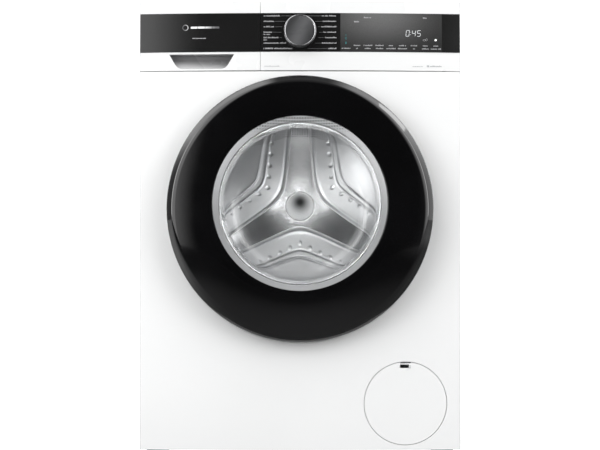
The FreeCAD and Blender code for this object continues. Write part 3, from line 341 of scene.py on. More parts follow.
def galvanised():
    """Zinc-coated sheet with its crystal spangle."""
    look = Look("galvanised", (0.55, 0.56, 0.57), 0.42, 0.85)
    spangle = look.cells(95.0)
    look.paint(look.times(spangle, 0.35), (0.66, 0.67, 0.68), (0.42, 0.43, 0.45))
    look.feed(look.shader, Roughness=look.span(spangle, 0.0, 1.0, 0.32, 0.55))
    return look.relief(look.noise(300.0, 3.0), 0.00005)


def concrete():
    look = Look("concrete_grey", (0.45, 0.44, 0.42), 0.88)
    look.mottle(0.22, 22.0)
    pits = look.span(look.cells(140.0, "Distance"), 0.0, 0.25)
    grit = look.noise(260.0, 6.0)
    return look.relief(look.calc("ADD", pits, grit), 0.0006)


def from_axis(look):
    """Position across the drum's axis: x, height above the axis, radius."""
    x, _, z = look.xyz()
    up = look.calc("SUBTRACT", z, AXIS_Z)
    return x, up, look.distance(x, up)


def hole_field(look, x, up, scale, inner, outer):
    """1 in the holes of a square lattice, 0 between them."""
    flat = look.feed(look.node("ShaderNodeCombineXYZ"), X=x, Y=up)
    dots = look.node("ShaderNodeTexVoronoi", voronoi_dimensions="2D")
    look.feed(dots, Vector=flat.outputs[0], Scale=scale, Randomness=0.0)
    return look.span(dots.outputs["Distance"], inner, outer, 1.0, 0.0)


def turned_steel(name, smooth, rough, dark, light):
    """Stainless steel ground in circles round the drum's axis."""
    look = Look(name, light, rough, 1.0)
    lines = look.rings(from_axis(look)[2], 1600.0, 3.0)
    look.feed(look.shader, Roughness=look.span(lines, 0.2, 0.8, smooth, rough))
    look.paint(look.span(look.noise(11.0, 3.0), 0.3, 0.7), dark, light)
    return look.relief(lines, 0.00002)


def pressed_steel():
    """The drum's back: polished star, satin sunken fields with crests painted white as a painted highlight, a
    perforated margin.
    """
    look = turned_steel("pressed_steel", 0.3, 0.42, (0.72, 0.72, 0.73), (0.84, 0.84, 0.85))
    x, up, radius = from_axis(look)
    half = math.radians(STAR_OPENING)
    start = STAR_VERTEX - STAR_ROUNDING / math.tan(half)
    field = None
    for angle in STAR_ANGLES:
        a = math.radians(angle + 180)
        along = look.calc("MULTIPLY_ADD", x, math.cos(a), look.times(up, math.sin(a)))
        across = look.calc("MULTIPLY_ADD", x, -math.sin(a), look.times(up, math.cos(a)))
        bend = look.calc("SQRT", look.calc("MULTIPLY_ADD", across, across, STAR_ROUNDING ** 2))
        reach = look.times(look.calc("SUBTRACT", along, start), math.sin(half))
        away = look.calc("MULTIPLY_ADD", bend, -math.cos(half), reach)
        field = look.calc("MAXIMUM", field, away) if field else away
    star = look.span(field, -0.0045, -0.0015, 1.0, 0.0)
    satin = look.fed("Roughness")
    polished = look.calc("MULTIPLY_ADD", satin, 0.35, 0.06)
    look.feed(look.shader, Roughness=look.blend(star, satin, polished))
    holes = hole_field(look, x, up, 190.0, 0.20, 0.36)
    margin = look.times(look.span(radius, 0.146, 0.150), look.span(up, 0.125, 0.138))
    patch = look.times(look.span(x, 0.112, 0.126), look.span(up, -0.030, -0.022, 1.0, 0.0))
    patch = look.times(patch, look.span(up, -0.125, -0.115))
    holes = look.times(holes, look.calc("MAXIMUM", margin, look.times(patch, 0.6)))
    # painted highlight: the crests are painted white and made less metallic
    painted_crest_highlight = look.bell(field, -0.0006, 0.0013)
    look.feed(look.shader, Metallic=look.calc("MULTIPLY_ADD", painted_crest_highlight, -0.8, 1.0))
    return look.overlay(painted_crest_highlight, (1.0, 1.0, 1.0)).overlay(holes, (0.12, 0.12, 0.12))


def control_gloss():
    """Black gloss of the control band; its display field is painted lighter towards the top and the middle,
    as painted light.
    """
    look = Look("band_black", (0.010, 0.010, 0.011), 0.08, Coat_Weight=0.5, Coat_Roughness=0.03)
    x, _, z = look.xyz()
    edge = 0.0008
    inside = look.times(look.span(x, DISPLAY_X0 - edge, DISPLAY_X0 + edge),
                       look.span(x, DISPLAY_X1 - edge, DISPLAY_X1 + edge, 1.0, 0.0))
    # painted light on the display field: lighter towards the top and the middle
    painted_light_ramp = look.span(z, BAND_Z0 - 0.005, BAND_Z1, 0.10, 1.0)
    pale = look.times(look.bell(x, 0.150, 0.085), painted_light_ramp)
    glow = look.times(inside, look.calc("MULTIPLY_ADD", pale, 0.125, 0.013))
    speckle = look.span(look.noise(900.0, 2.0), 0.3, 0.7, 0.9, 1.1)
    shade = look.times(look.calc("ADD", glow, 0.010), speckle)
    haze = look.span(look.noise(14.0, 3.0), 0.3, 0.7, 0.06, 0.11)
    look.feed(look.shader, Base_Color=look.grey(shade), Roughness=haze)
    return look.relief(look.noise(160.0, 1.0), 0.00001)


def clear_glass():
    """Even-walled tempered glass: hardly bends the view, reflects at its surface, lets the lamps through."""
    look = Look("window_glass", (0.95, 0.965, 0.965), 0.0, Transmission_Weight=1.0, IOR=1.02, Coat_Weight=0.7,
                Coat_IOR=1.5, Coat_Roughness=0.02)
    look.feed(look.shader, Coat_Weight=look.span(look.noise(18.0, 3.0), 0.3, 0.8, 0.75, 0.6))
    see_through = look.node("ShaderNodeBsdfTransparent")
    look.feed(see_through, Color=(0.93, 0.95, 0.95, 1))
    shadow = look.node("ShaderNodeLightPath").outputs["Is Shadow Ray"]
    look.surface(shadow, look.shader.outputs[0], see_through.outputs[0])
    return look


def printed(name, colour, glow=0.0):
    """Screen-printed or lit mark; its glow is real light for the display's lit digits, lamp and icons, and
    painted light on the plain labels and the emblem.
    """
    look = Look(name, colour, 0.4)
    if glow:
        look.feed(look.shader, Emission_Color=(*colour, 1), Emission_Strength=glow)
    look.mottle(0.1, 700.0)
    return look.relief(look.noise(1500.0, 2.0), 0.00001)


def emblem_metal():
    """Metallic print with a painted highlight and a painted glow: bright in its middle and falling away to
    both ends.
    """
    look = printed("emblem_ink", (0.78, 0.78, 0.79), 0.12)
    x = look.xyz()[0]
    # painted highlight along the emblem; the same colour makes it glow though it is no lamp
    painted_light_ramp = look.times(look.span(x, -0.218, -0.199), look.span(x, -0.186, -0.154, 1.0, 0.0))
    shade = look.blend_colours(painted_light_ramp, (0.10, 0.10, 0.105), (0.90, 0.90, 0.91))
    look.feed(look.shader, Base_Color=shade, Emission_Color=shade)
    return look


def named(*looks):
    return {look.name: look for look in looks}


LOOKS = named(
    body_enamel(),
    panel_gloss(),
    moulded("worktop_white", (0.85, 0.85, 0.845), 0.42, 500.0, 0.00008, 0.015),
    control_gloss(),
    knob_face(),
    drawn_metal("chrome_trim", (0.40, 0.40, 0.41), 0.22, (1, 20, 1)),
    gloss_black("door_black", (0.0022, 0.0022, 0.0025)),
    moulded("door_grey", (0.40, 0.41, 0.42), 0.38),
    clear_glass(),
    rubber("seal_rubber", (0.30, 0.31, 0.32)),
    turned_steel("drum_steel", 0.17, 0.31, (0.66, 0.66, 0.67), (0.78, 0.78, 0.79)),
    galvanised(),
    drawn_metal("screw_steel", (0.52, 0.52, 0.53), 0.3, (1, 12, 1)),
    cast_metal("spider_alloy", (0.62, 0.63, 0.64)),
    moulded("tub_plastic", (0.50, 0.52, 0.55), 0.55, 420.0, 0.00012, 0.09),
    concrete(),
    moulded("inner_plastic", (0.74, 0.75, 0.76), 0.46),
    moulded("dark_plastic", (0.045, 0.045, 0.05), 0.5, 800.0, 0.0001),
    moulded("drawer_plastic", (0.78, 0.80, 0.82), 0.35),
    moulded("blue_plastic", (0.10, 0.28, 0.52), 0.4),
    rubber("black_rubber", (0.028, 0.028, 0.03)),
    moulded("hose_grey", (0.33, 0.34, 0.35), 0.5, 600.0, 0.0001),
    moulded("board_green", (0.06, 0.07, 0.07), 0.5),
    drawn_metal("spring_steel", (0.30, 0.30, 0.31), 0.35, (1, 1, 14)),
    cast_metal("motor_metal", (0.48, 0.48, 0.49), 0.45),
)
MARKS = named(
    # painted light: this grey print glows faintly though it is no lamp
    printed("label_ink", (0.34, 0.34, 0.35), 0.06),
    printed("leader_ink", (0.13, 0.132, 0.135)),
    emblem_metal(),
    printed("digit_light", (0.62, 0.64, 0.65), 0.25),
    printed("lamp_white", (0.95, 0.96, 0.97), 1.2),
    printed("icon_teal", (0.02, 0.16, 0.17), 0.3),
    printed("strip_ink", (0.42, 0.43, 0.44)),
)

for node in frame["nodes"].values():
    node.data.materials[0] = LOOKS[node.data.materials[0].name.split(".")[0]].material


# ---------------------------------------------------------------- mesh helpers

def add_object(name, data):
    made = bpy.data.objects.new(name, data)
    bpy.context.scene.collection.objects.link(made)
    return made


def piece(name, verts, faces, look, body, slot=None, crease=40.0, close=False):
    """New mesh piece with smooth faces and sharp creases, riding on a CAD body."""
    mesh = bpy.data.meshes.new(name)
    mesh.from_pydata([tuple(v) for v in verts], [], faces)
    work = bmesh.new()
    work.from_mesh(mesh)
    bmesh.ops.remove_doubles(work, verts=work.verts, dist=1e-6)
    if close:
        bmesh.ops.recalc_face_normals(work, faces=work.faces)
    for face in work.faces:
        face.smooth = True
    work.to_mesh(mesh)
    work.free()
    mesh.set_sharp_from_angle(angle=math.radians(crease))
    mesh.materials.append(look.material)
    made = add_object(name, mesh)
    if body:
        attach(made, body)
    return made


def band(first, second, n):
    """Quads between two rings of n vertices."""
    return [(first + i, first + (i + 1) % n, second + (i + 1) % n, second + i) for i in range(n)]


def ellipse(x, z, rx, rz, steps):
    turns = [2 * math.pi * i / steps for i in range(steps)]
    return [(x + rx * math.cos(a), z + rz * math.sin(a)) for a in turns]


def arc(first, middle, last, steps):
    """Points of the arc through three points, the first left out."""
    (ax, ay), (bx, by), (cx, cy) = first, middle, last
    d = 2 * (ax * (by - cy) + bx * (cy - ay) + cx * (ay - by))
    a2, b2, c2 = ax * ax + ay * ay, bx * bx + by * by, cx * cx + cy * cy
    ux = (a2 * (by - cy) + b2 * (cy - ay) + c2 * (ay - by)) / d
    uy = (a2 * (cx - bx) + b2 * (ax - cx) + c2 * (bx - ax)) / d
    start, end = math.atan2(ay - uy, ax - ux), math.atan2(cy - uy, cx - ux)
    mid = math.atan2(by - uy, bx - ux)
    sweep = (end - start) % (2 * math.pi)
    if (mid - start) % (2 * math.pi) > sweep:
        sweep -= 2 * math.pi
    r = math.hypot(ax - ux, ay - uy)
    return [(ux + r * math.cos(start + sweep * i / steps), uy + r * math.sin(start + sweep * i / steps))
            for i in range(1, steps + 1)]


def rounded(points, radius, steps=4, closed=True):
    """The outline with its corners rounded."""
    made = []
    n = len(points)
    for i, corner in enumerate(points):
        if not closed and i in (0, n - 1):
            made.append(corner)
            continue
        here = Vector(corner)
        before, after = Vector(points[i - 1]) - here, Vector(points[(i + 1) % n]) - here
        reach = min(radius, before.length * 0.45, after.length * 0.45)
        p, q = here + before.normalized() * reach, here + after.normalized() * reach
        for k in range(steps + 1):
            t = k / steps
            made.append(tuple(p * (1 - t) ** 2 + here * 2 * t * (1 - t) + q * t * t))
    return made


def lathe(outline, steps):
    """Closed outline of (radius, y) turned about the drum's axis."""
    verts, faces = [], []
    n = len(outline)
    for i in range(steps):
        a = 2 * math.pi * i / steps
        for r, y in outline:
            verts.append((r * math.cos(a), y, AXIS_Z + r * math.sin(a)))
    for i in range(steps):
        j = (i + 1) % steps
        for k in range(n):
            m = (k + 1) % n
            if outline[k][0] == 0 and outline[m][0] == 0:
                continue
            faces.append((i * n + k, j * n + k, j * n + m, i * n + m))
    return verts, faces


def turned(name, outline, steps, look, body, slot, crease, node):
    """Turned piece shown in place of a CAD node."""
    made = piece(name, *lathe(outline, steps), look, body, slot, crease, True)
    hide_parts(node)
    return made


def in_metres(points):
    return [(a * 0.001, b * 0.001) for a, b in points]


def bow_y(x, proud):
    """Front surface of the bowed cabinet at x."""
    return FRONT + BOW_R - math.sqrt((BOW_R + proud) ** 2 - x * x)


def panel_point(x, z, proud):
    """Point of the leaning control panel: z along the panel, proud of its white face."""
    forward, up = bow_y(x, proud) - FRONT, z - FASCIA_Z0
    return (x, FRONT + forward * math.cos(LEAN) + up * math.sin(LEAN),
            FASCIA_Z0 - forward * math.sin(LEAN) + up * math.cos(LEAN))


def front_point(x, z, proud):
    """Point of the upright bowed front."""
    return (x, bow_y(x, proud), z)


def plates(name, shapes, proud, look, body, thick=0.00012, place=panel_point):
    """Thin raised marks on the control panel or the front, each from its outline in (x, z)."""
    verts, faces = [], []
    for shape in shapes:
        n, first = len(shape), len(verts)
        verts += [place(x, z, proud + thick) for x, z in shape]
        verts += [place(x, z, proud - thick) for x, z in shape]
        faces.append(tuple(range(first, first + n)))
        faces.append(tuple(range(first + 2 * n - 1, first + n - 1, -1)))
        for i in range(n):
            j = (i + 1) % n
            faces.append((first + j, first + i, first + n + i, first + n + j))
    return piece(name, verts, faces, look, body, crease=20.0, close=True)


def bar(x0, x1, z0, z1):
    return [(x0, z0), (x1, z0), (x1, z1), (x0, z1)]


def dashes(x0, width, z, height, dice):
    """A line of small blocks that stands for a printed word."""
    made = []
    x = x0
    while x < x0 + width - 0.0006:
        w = min(dice.uniform(0.0011, 0.0021), x0 + width - x)
        tall = height * dice.choice((0.72, 0.72, 1.0))
        made.append(bar(x, x + w, z - height * 0.36, z - height * 0.36 + tall))
        x += w + 0.0004
        if dice.random() < 0.07:
            x += 0.0014
    return made


def disc(x, z, r, steps=20):
    return ellipse(x, z, r, r, steps)


def hoop(x, z, rx, rz, width, steps=24):
    """Ring of small quads."""
    ring = ellipse(x, z, rx, rz, steps) + ellipse(x, z, rx - width, rz - width, steps)
    return [[ring[i] for i in quad] for quad in band(0, steps, steps)]


# ---------------------------------------------------------------- door

def door_ring():
    """Crowned gloss ring; its window sits above its centre, so its loops slide from centre to centre."""
    steps = 256
    lip_r, own_r = WINDOW_R + 0.003, 0.178
    back_y, back_r, back_window = -0.3132, 0.180, 0.1640

    def crown(r):
        t = max(0.0, (r - 0.165) / 0.070)
        return DOOR_Y + 0.0035 * t ** 1.6

    lip = [(WINDOW_R - 0.0013, DOOR_Y + 0.0065), (WINDOW_R - 0.0006, DOOR_Y + 0.0003), (lip_r, DOOR_Y)]
    loops = [(1.0, r, y) for r, y in rounded(lip, 0.0004, 3, False)]
    loops += [(1.0 - i / 8, lip_r + (own_r - lip_r) * i / 8, None) for i in range(1, 9)]
    loops += [(0.0, r, None) for r in (0.186, 0.195, 0.204, 0.213, 0.221, 0.228)]
    rim = [(0.2315, crown(0.2315)), (0.2355, DOOR_Y + 0.0042), (DOOR_R, DOOR_Y + 0.0145), (DOOR_R, -0.290),
           (0.2405, -0.266), (0.2378, -0.266), (0.2420, -0.290), (0.2415, -0.3015), (0.2335, -0.3105),
           (0.200, -0.3125), (back_r, back_y)]
    loops += [(0.0, r, y) for r, y in rounded(rim, 0.0022, 5, False)]
    loops += [(i / 5, back_r + (back_window - back_r) * i / 5, back_y) for i in range(1, 6)]
    verts, faces = [], []
    for shift, r, y in loops:
        for x, z in ellipse(0, DOOR_Z + (AXIS_Z - DOOR_Z) * shift, r, r, steps):
            verts.append((x, crown(math.hypot(x, z - DOOR_Z)) if y is None else y, z))
    n = len(loops)
    for k in range(n):
        faces += band(k * steps, (k + 1) % n * steps, steps)
    ring = piece("door_ring_gloss", verts, faces, LOOKS["door_black"], None, "door_black", 50.0, True)
    cut_notch(ring, (-0.260, -0.205), (-0.299, -0.260), 0.054)
    cut_notch(ring, (0.224, 0.260), (-0.297, -0.260), 0.046)
    ring.data.set_sharp_from_angle(angle=math.radians(50))
    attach(ring, "door")
    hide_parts("door_ring")


def cut_notch(target, xs, ys, half):
    """Takes a block out of the ring's side for the hinge or for the fingers."""
    corners = [(x, y, z) for x in xs for y in ys for z in (DOOR_Z - half, DOOR_Z + half)]
    faces = [(0, 1, 3, 2), (4, 6, 7, 5), (0, 4, 5, 1), (2, 3, 7, 6), (0, 2, 6, 4), (1, 5, 7, 3)]
    mesh = bpy.data.meshes.new("cutter")
    mesh.from_pydata(corners, [], faces)
    cutter = add_object("cutter", mesh)
    step = target.modifiers.new("cut", "BOOLEAN")
    step.object = cutter
    step.operation = "DIFFERENCE"
    step.solver = "EXACT"
    bpy.context.view_layer.update()
    shaped = bpy.data.meshes.new_from_object(target.evaluated_get(bpy.context.evaluated_depsgraph_get()))
    target.modifiers.clear()
    target.data = shaped
    bpy.data.objects.remove(cutter)


def collar_look():
    """Frosted grey, painted lighter towards the top of the window as painted light, with dark dots painted
    along its top in place of the drum's holes seen through the glass.
    """
    look = moulded("door_collar", (0.45, 0.46, 0.47), 0.42)
    x, up, _ = from_axis(look)
    # painted light: lighter towards the top of the window
    look.paint(look.span(up, -0.05, 0.14), (0.34, 0.345, 0.35), (0.95, 0.96, 0.97))
    dots = look.times(hole_field(look, x, up, 205.0, 0.22, 0.36), look.span(up, 0.128, 0.142))
    return look.overlay(dots, (0.20, 0.203, 0.207))


def window_rim():
    """Grey translucent collar between the gloss ring and the glass."""
    outline = in_metres([(161.0, -315.0), (164.5, -312.6), (161.5, -292.4), (150.0, -292.4), (151.5, -297.0)])
    turned("window_rim", rounded(outline, 0.0008), 256, collar_look(), "door", "door_grey", 50.0, "door_ring")


def glass_bowl():
    """Even-walled bowl with a clamping flange and a nearly flat nose."""
    outline = [(171, -292), (171, -286), (155.5, -286), (153.9, -285), (153.3, -283)]
    outline += [(153.3 - 4.3 * t / 8, -283 + 61 * t / 8) for t in range(1, 9)]
    outline += arc((149, -222), (138.5, -196.5), (113, -186), 12)
    outline += arc((113, -186), (72, -182.8), (30, -181.5), 10)
    outline += [(0, -181.5), (0, -186.5), (30, -186.5)]
    outline += arc((30, -186.5), (72, -187.8), (112, -191), 10)
    outline += arc((112, -191), (134.5, -200.5), (144, -223), 12)
    outline += [(144 + 5 * t / 8, -223 - 69 * t / 8) for t in range(1, 8)] + [(149.8, -292)]
    turned("glass_bowl", in_metres(outline), 256, LOOKS["window_glass"], "door", "window_glass", 50.0,
           "door_glass")


# ---------------------------------------------------------------- drum

def ridge(value, centre, width):
    return math.exp(-((value - centre) / width) ** 2)


def step_up(value, low, high):
    t = min(1.0, max(0.0, (value - low) / (high - low)))
    return t * t * (3 - 2 * t)


def chevron(along, across, vertex, opening, rounding):
    """Signed distance from a rounded V that opens away from the hub."""
    half = math.radians(opening)
    start = vertex - rounding / math.tan(half)
    return (along - start) * math.sin(half) - math.hypot(across, rounding) * math.cos(half)


def pressed_height(x, z):
    """How far the pressed back stands towards the door at a point, in metres."""
    best = None
    for angle in STAR_ANGLES:
        a = math.radians(angle + 180)
        along, across = x * math.cos(a) + z * math.sin(a), -x * math.sin(a) + z * math.cos(a)
        if best is None or along > best[0]:
            best = (along, across)
    along, across = best
    r = math.hypot(x, z)
    arm = chevron(along, across, STAR_VERTEX, STAR_OPENING, STAR_ROUNDING)
    inner = chevron(along, across, *FIELD_INNER)
    outer = chevron(along, across, *FIELD_OUTER)
    height = 0.0042 * (1 - step_up(arm, -0.0035, 0.003))
    height += 0.0013 * ridge(arm, -0.0008, 0.0016)
    height -= 0.0010 * ridge(arm, 0.0048, 0.0022)
    height -= 0.0028 * step_up(inner, -0.001, 0.0035) * (1 - step_up(outer, -0.0035, 0.0015))
    height += 0.0011 * ridge(inner, -0.0014, 0.0015)
    height += 0.0030 * step_up(outer, -0.0032, 0.003)
    height += 0.0012 * ridge(outer, 0.0018, 0.0017)
    height *= 1 - step_up(r, 0.186, 0.206)
    half = math.radians(64.5)
    for i in range(-5, 6):
        leg = abs(i) * 0.0235
        a, b = 0.078 + leg * math.cos(half), math.copysign(leg * math.sin(half), i) if i else 0.0
        gap = math.hypot(along - a, across - b)
        if gap < 0.006:
            height -= 0.0030 * (1 - step_up(gap, 0.0022, 0.0042))
    height += 0.0022 * ridge(r, 0.219, 0.004) - 0.0012 * ridge(r, 0.211, 0.003)
    return max(-0.0012, height)


def drum_back():
    """Pressed stainless disc: three-arm star, nested chevrons, dimples and a stiffening bead near its rim."""
    steps, rows = 540, 118
    inner_r, outer_r = 0.0285, (BACK_HI.x - BACK_LO.x) / 2
    rear = BACK_Y + 0.0015
    verts, faces = [], []
    for k in range(rows + 1):
        r = inner_r + (outer_r - inner_r) * k / rows
        verts += [(x, BACK_Y - pressed_height(x, z), AXIS_Z + z) for x, z in ellipse(0, 0, r, r, steps)]
    for r in (outer_r, inner_r):
        verts += [(x, rear, z) for x, z in ellipse(0, AXIS_Z, r, r, steps)]
    for k in range(rows + 2):
        faces += band(k * steps, (k + 1) * steps, steps)
    faces += band((rows + 2) * steps, 0, steps)
    back = piece("drum_back_pressed", verts, faces, pressed_steel(), "drum", "drum_steel", 60.0, True)
    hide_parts("drum_back")


def hub_cap():
    """Dished cap over the shaft's end, with a rolled rim painted white as a painted highlight."""
    outline = [(0, 138.2), (27.0, 138.2), (27.2, 130.2)]
    outline += [(27.2 - 25.2 * t / 12, 130.2 + 6.4 * (t / 12) ** 1.35) for t in range(1, 13)] + [(0, 137.0)]
    turned("hub_cap", in_metres(outline), 96, hub_look(), "drum", "drum_steel", 45.0, "drum_back")
    outline = [(27.1, 138.2), (30.5, 138.2), (30.5, 130.2)]
    outline += arc((30.5, 130.2), (28.9, 128.1), (27.2, 130.0), 8)
    turned("hub_rim", in_metres(outline), 96, rim_look(), "drum", "drum_steel", 45.0, "drum_back")


def hub_look():
    """Satin cap with painted shade: darkest a little above its centre, lighter further out."""
    look = Look("hub_satin", (0.62, 0.62, 0.63), 0.42, 0.1)
    x, up, radius = from_axis(look)
    away = look.distance(look.calc("SUBTRACT", up, 0.0085), x)
    lines = look.rings(radius, 2400.0, 2.0)
    # painted shade: dark a little above the centre, light towards the rim
    look.feed(look.shader, Base_Color=look.grey(look.span(away, 0.002, 0.032, 0.008, 0.95)))
    look.feed(look.shader, Roughness=look.span(lines, 0.2, 0.8, 0.35, 0.5))
    return look.relief(lines, 0.00002)


def rim_look():
    # painted highlight: the rolled steel rim is painted plain white
    look = Look("hub_rim_painted_highlight", (1.0, 1.0, 1.0), 0.45)
    look.mottle(0.03, 120.0).sheen_patches(0.05, 200.0)
    return look.relief(look.noise(900.0, 2.0), 0.00001)


def drum_wall():
    """Perforated rolled wall with swaged beads, the dished front and the rolled mouth."""
    around, along = 104, 19
    y_front, y_back = DRUM_LO.y + 0.0165, DRUM_HI.y - 0.002
    pitch = (y_back - y_front) / along
    radius = DRUM_R - SHEET / 2
    hole = 0.0021

    def wall(angle, y):
        swage = 0.0014 * (ridge(y, y_front + pitch, 0.004) + ridge(y, y_back - pitch, 0.004))
        r = radius - swage
        return (r * math.cos(angle), y, AXIS_Z + r * math.sin(angle))

    verts, faces = [], []
    turn = 2 * math.pi / around
    ring = [(1, 0), (1, 1), (0, 1), (-1, 1), (-1, 0), (-1, -1), (0, -1), (1, -1)]
    for row in range(along):
        for col in range(around):
            angle = turn * (col + 0.5 * (row % 2))
            y = y_front + pitch * (row + 0.5)
            first = len(verts)
            for a, b in ring:
                verts.append(wall(angle + a * turn / 2, y + b * pitch / 2))
            for k in range(8):
                t = math.pi / 4 * k
                verts.append(wall(angle + hole * math.cos(t) / radius, y + hole * math.sin(t)))
            faces += band(first, first + 8, 8)
    shell = piece("drum_wall_perforated", verts, faces, LOOKS["drum_steel"], "drum", "drum_steel", 60.0)
    thick = shell.modifiers.new("sheet", "SOLIDIFY")
    thick.thickness = SHEET
    thick.offset = 0.0
    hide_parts("drum_shell")
    mouth = DRUM_LO.y
    outline = [(radius + SHEET / 2, y_front), (radius + SHEET / 2, y_front - 0.0015)]
    outline += arc(outline[-1], (radius - 0.0018, mouth + 0.0108), (radius - 0.0075, mouth + 0.0090), 8)
    outline += [(0.205, mouth + 0.0094), (0.201, mouth + 0.0106), (0.188, mouth + 0.0106),
                (0.184, mouth + 0.0094), (0.164, mouth + 0.0090), (0.1630, mouth + 0.0080),
                (0.1630, mouth + 0.0012)]
    outline += arc((0.1630, mouth + 0.0012), (0.1615, mouth), (0.1600, mouth + 0.0012), 6)
    outline += [(0.1600, mouth + 0.0102), (0.184, mouth + 0.0106), (0.188, mouth + 0.0118),
                (0.201, mouth + 0.0118), (0.205, mouth + 0.0106), (radius - 0.0080, mouth + 0.0102)]
    outline += arc(outline[-1], (radius - 0.0030, mouth + 0.0118), (radius - SHEET / 2, y_front - 0.001), 8)
    outline += [(radius - SHEET / 2, y_front)]
    turned("drum_front_ring", outline, 208, LOOKS["drum_steel"], "drum", "drum_steel", 35.0, "drum_shell")


# ---------------------------------------------------------------- seal, springs and hoses

def door_gasket():
    """Bellows of the door seal with rounded folds, a bead on the panel and one on the tub."""
    outline = in_metres([
        (160, -265), (163, -266), (187.6, -266), (187.6, -260), (190.5, -260), (190.5, -257),
        (184, -257), (171, -249.5), (187.5, -240), (187.5, -237), (182, -233), (182, -214), (176.4, -214),
        (176.4, -234), (182, -238.5), (166, -248), (166, -251), (180, -259.5), (180, -262.5), (161, -262)])
    seal = turned("gasket_bellows", rounded(outline, 0.0022), 200, LOOKS["seal_rubber"], None, "seal_rubber",
                  60.0, "door_gasket")
    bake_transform(seal)


def tube_along(points, radius_at, sides=20):
    """Tube whose radius follows a function of its length; returns vertices and faces with capped ends."""
    path = [Vector(p) for p in points]
    verts, faces = [], []
    side = None
    for i, here in enumerate(path):
        ahead = (path[min(i + 1, len(path) - 1)] - path[max(i - 1, 0)]).normalized()
        if side is None:
            side = ahead.orthogonal().normalized()
        side = (side - ahead * side.dot(ahead)).normalized()
        other = ahead.cross(side)
        for k in range(sides):
            a = 2 * math.pi * k / sides
            verts.append(here + (side * math.cos(a) + other * math.sin(a)) * radius_at(i))
    for i in range(len(path) - 1):
        faces += band(i * sides, (i + 1) * sides, sides)
    faces.append(tuple(range(sides - 1, -1, -1)))
    last = (len(path) - 1) * sides
    faces.append(tuple(range(last, last + sides)))
    return verts, faces


def suspension_springs():
    """Close-wound coils with a hook at each end, from the hangers down to the tub's ears."""
    low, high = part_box("suspension_springs")
    mid_y = (low.y + high.y) / 2
    wire, coil = 0.0019, 0.0095
    x_ear = high.x - coil - 0.002
    turns, per_turn = 24, 20
    count = turns * per_turn
    bottom, top = low.z + 0.008, high.z - 0.008
    verts, faces = [], []
    for sign in (-1, 1):
        points = []
        for i in range(count + 1):
            a = 2 * math.pi * i / per_turn
            grip = min(1.0, i / 16, (count - i) / 16)
            points.append((sign * x_ear + coil * grip * math.cos(a), mid_y + coil * grip * math.sin(a),
                           bottom + (top - bottom) * i / count))
        points.insert(0, (sign * x_ear, mid_y, low.z + wire))
        points.append((sign * x_ear, mid_y, high.z - wire))
        more, skins = tube_along(points, lambda i: wire, 10)
        faces += [tuple(v + len(verts) for v in face) for face in skins]
        verts += more
    springs = piece("suspension_coils", verts, faces, LOOKS["spring_steel"], None, "spring_steel", 60.0, True)
    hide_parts("suspension_springs")
    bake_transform(springs)


def bellows(name, node, path, folds, low_r, high_r, look):
    """Corrugated hose along a path, running between the cabinet and the tub."""
    count = len(path)

    def radius(i):
        wave = 0.5 - 0.5 * math.cos(2 * math.pi * folds * i / (count - 1))
        return low_r + (high_r - low_r) * wave ** 0.7

    hose = piece(name, *tube_along(path, radius, 32), LOOKS[look], None, look, 60.0, True)
    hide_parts(node)
    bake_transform(hose)


def hoses():
    low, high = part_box("dispenser_hose")
    x, y = (low.x + high.x) / 2, (low.y + high.y) / 2
    path = [(x, y, high.z + (low.z - high.z) * i / 84) for i in range(85)]
    bellows("dispenser_bellows", "dispenser_hose", path, 7, 0.0160, 0.0194, "black_rubber")
    low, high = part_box("sump_hose")
    top = Vector((low.x + 0.015, (low.y + high.y) / 2, high.z))
    corner = Vector((top.x, top.y, low.z + 0.015))
    end = Vector((high.x, top.y, corner.z))
    bend = 0.040
    path = [top + (corner + Vector((0, 0, bend)) - top) * i / 12 for i in range(12)]
    for i in range(31):
        a = math.pi / 2 * i / 30
        path.append(corner + Vector((bend * (1 - math.cos(a)), 0, bend * (1 - math.sin(a)))))
    start = corner + Vector((bend, 0, 0))
    path += [start + (end - start) * i / 16 for i in range(1, 17)]
    bellows("sump_bellows", "sump_hose", path, 14, 0.0135, 0.0149, "black_rubber")


# ---------------------------------------------------------------- marks on the control panel

ROW_PITCH = 0.0102
LABEL_X = 0.0675
LEFT_WORDS = (0.031, 0.0196, 0.020, 0.016, 0.028, 0.042, 0.053)
RIGHT_WORDS = (0.027, 0.0255, 0.028, 0.024, 0.021, 0.027, 0.0155)


def programme_labels():
    """Blocks in place of programme names, with a leader from each towards the knob."""
    dice = random.Random(4)
    words, leaders = [], []
    for i, (left, right) in enumerate(zip(LEFT_WORDS, RIGHT_WORDS)):
        offset = (3 - i) * ROW_PITCH
        z = KNOB_Z + offset
        words += dashes(-LABEL_X, left, z, 0.0025, dice)
        words += dashes(LABEL_X - right, right, z, 0.0025, dice)
        reach = math.sqrt(max(0.0, (KNOB_R + 0.003) ** 2 - offset ** 2)) + 0.002
        for x0, x1 in ((-LABEL_X + left + 0.0014, -reach), (reach, LABEL_X - right - 0.0014)):
            if x1 - x0 > 0.004:
                leaders.append(bar(x0, x1, z - 0.0003, z + 0.0003))
    words += dashes(-LABEL_X, 0.012, KNOB_Z - 0.0042, 0.0020, dice)
    words += dashes(-LABEL_X, 0.006, KNOB_Z - ROW_PITCH - 0.0042, 0.0020, dice)
    plates("programme_labels", words, BAND_FACE, MARKS["label_ink"], "cabinet")
    plates("programme_leaders", leaders, BAND_FACE, MARKS["leader_ink"], "cabinet")


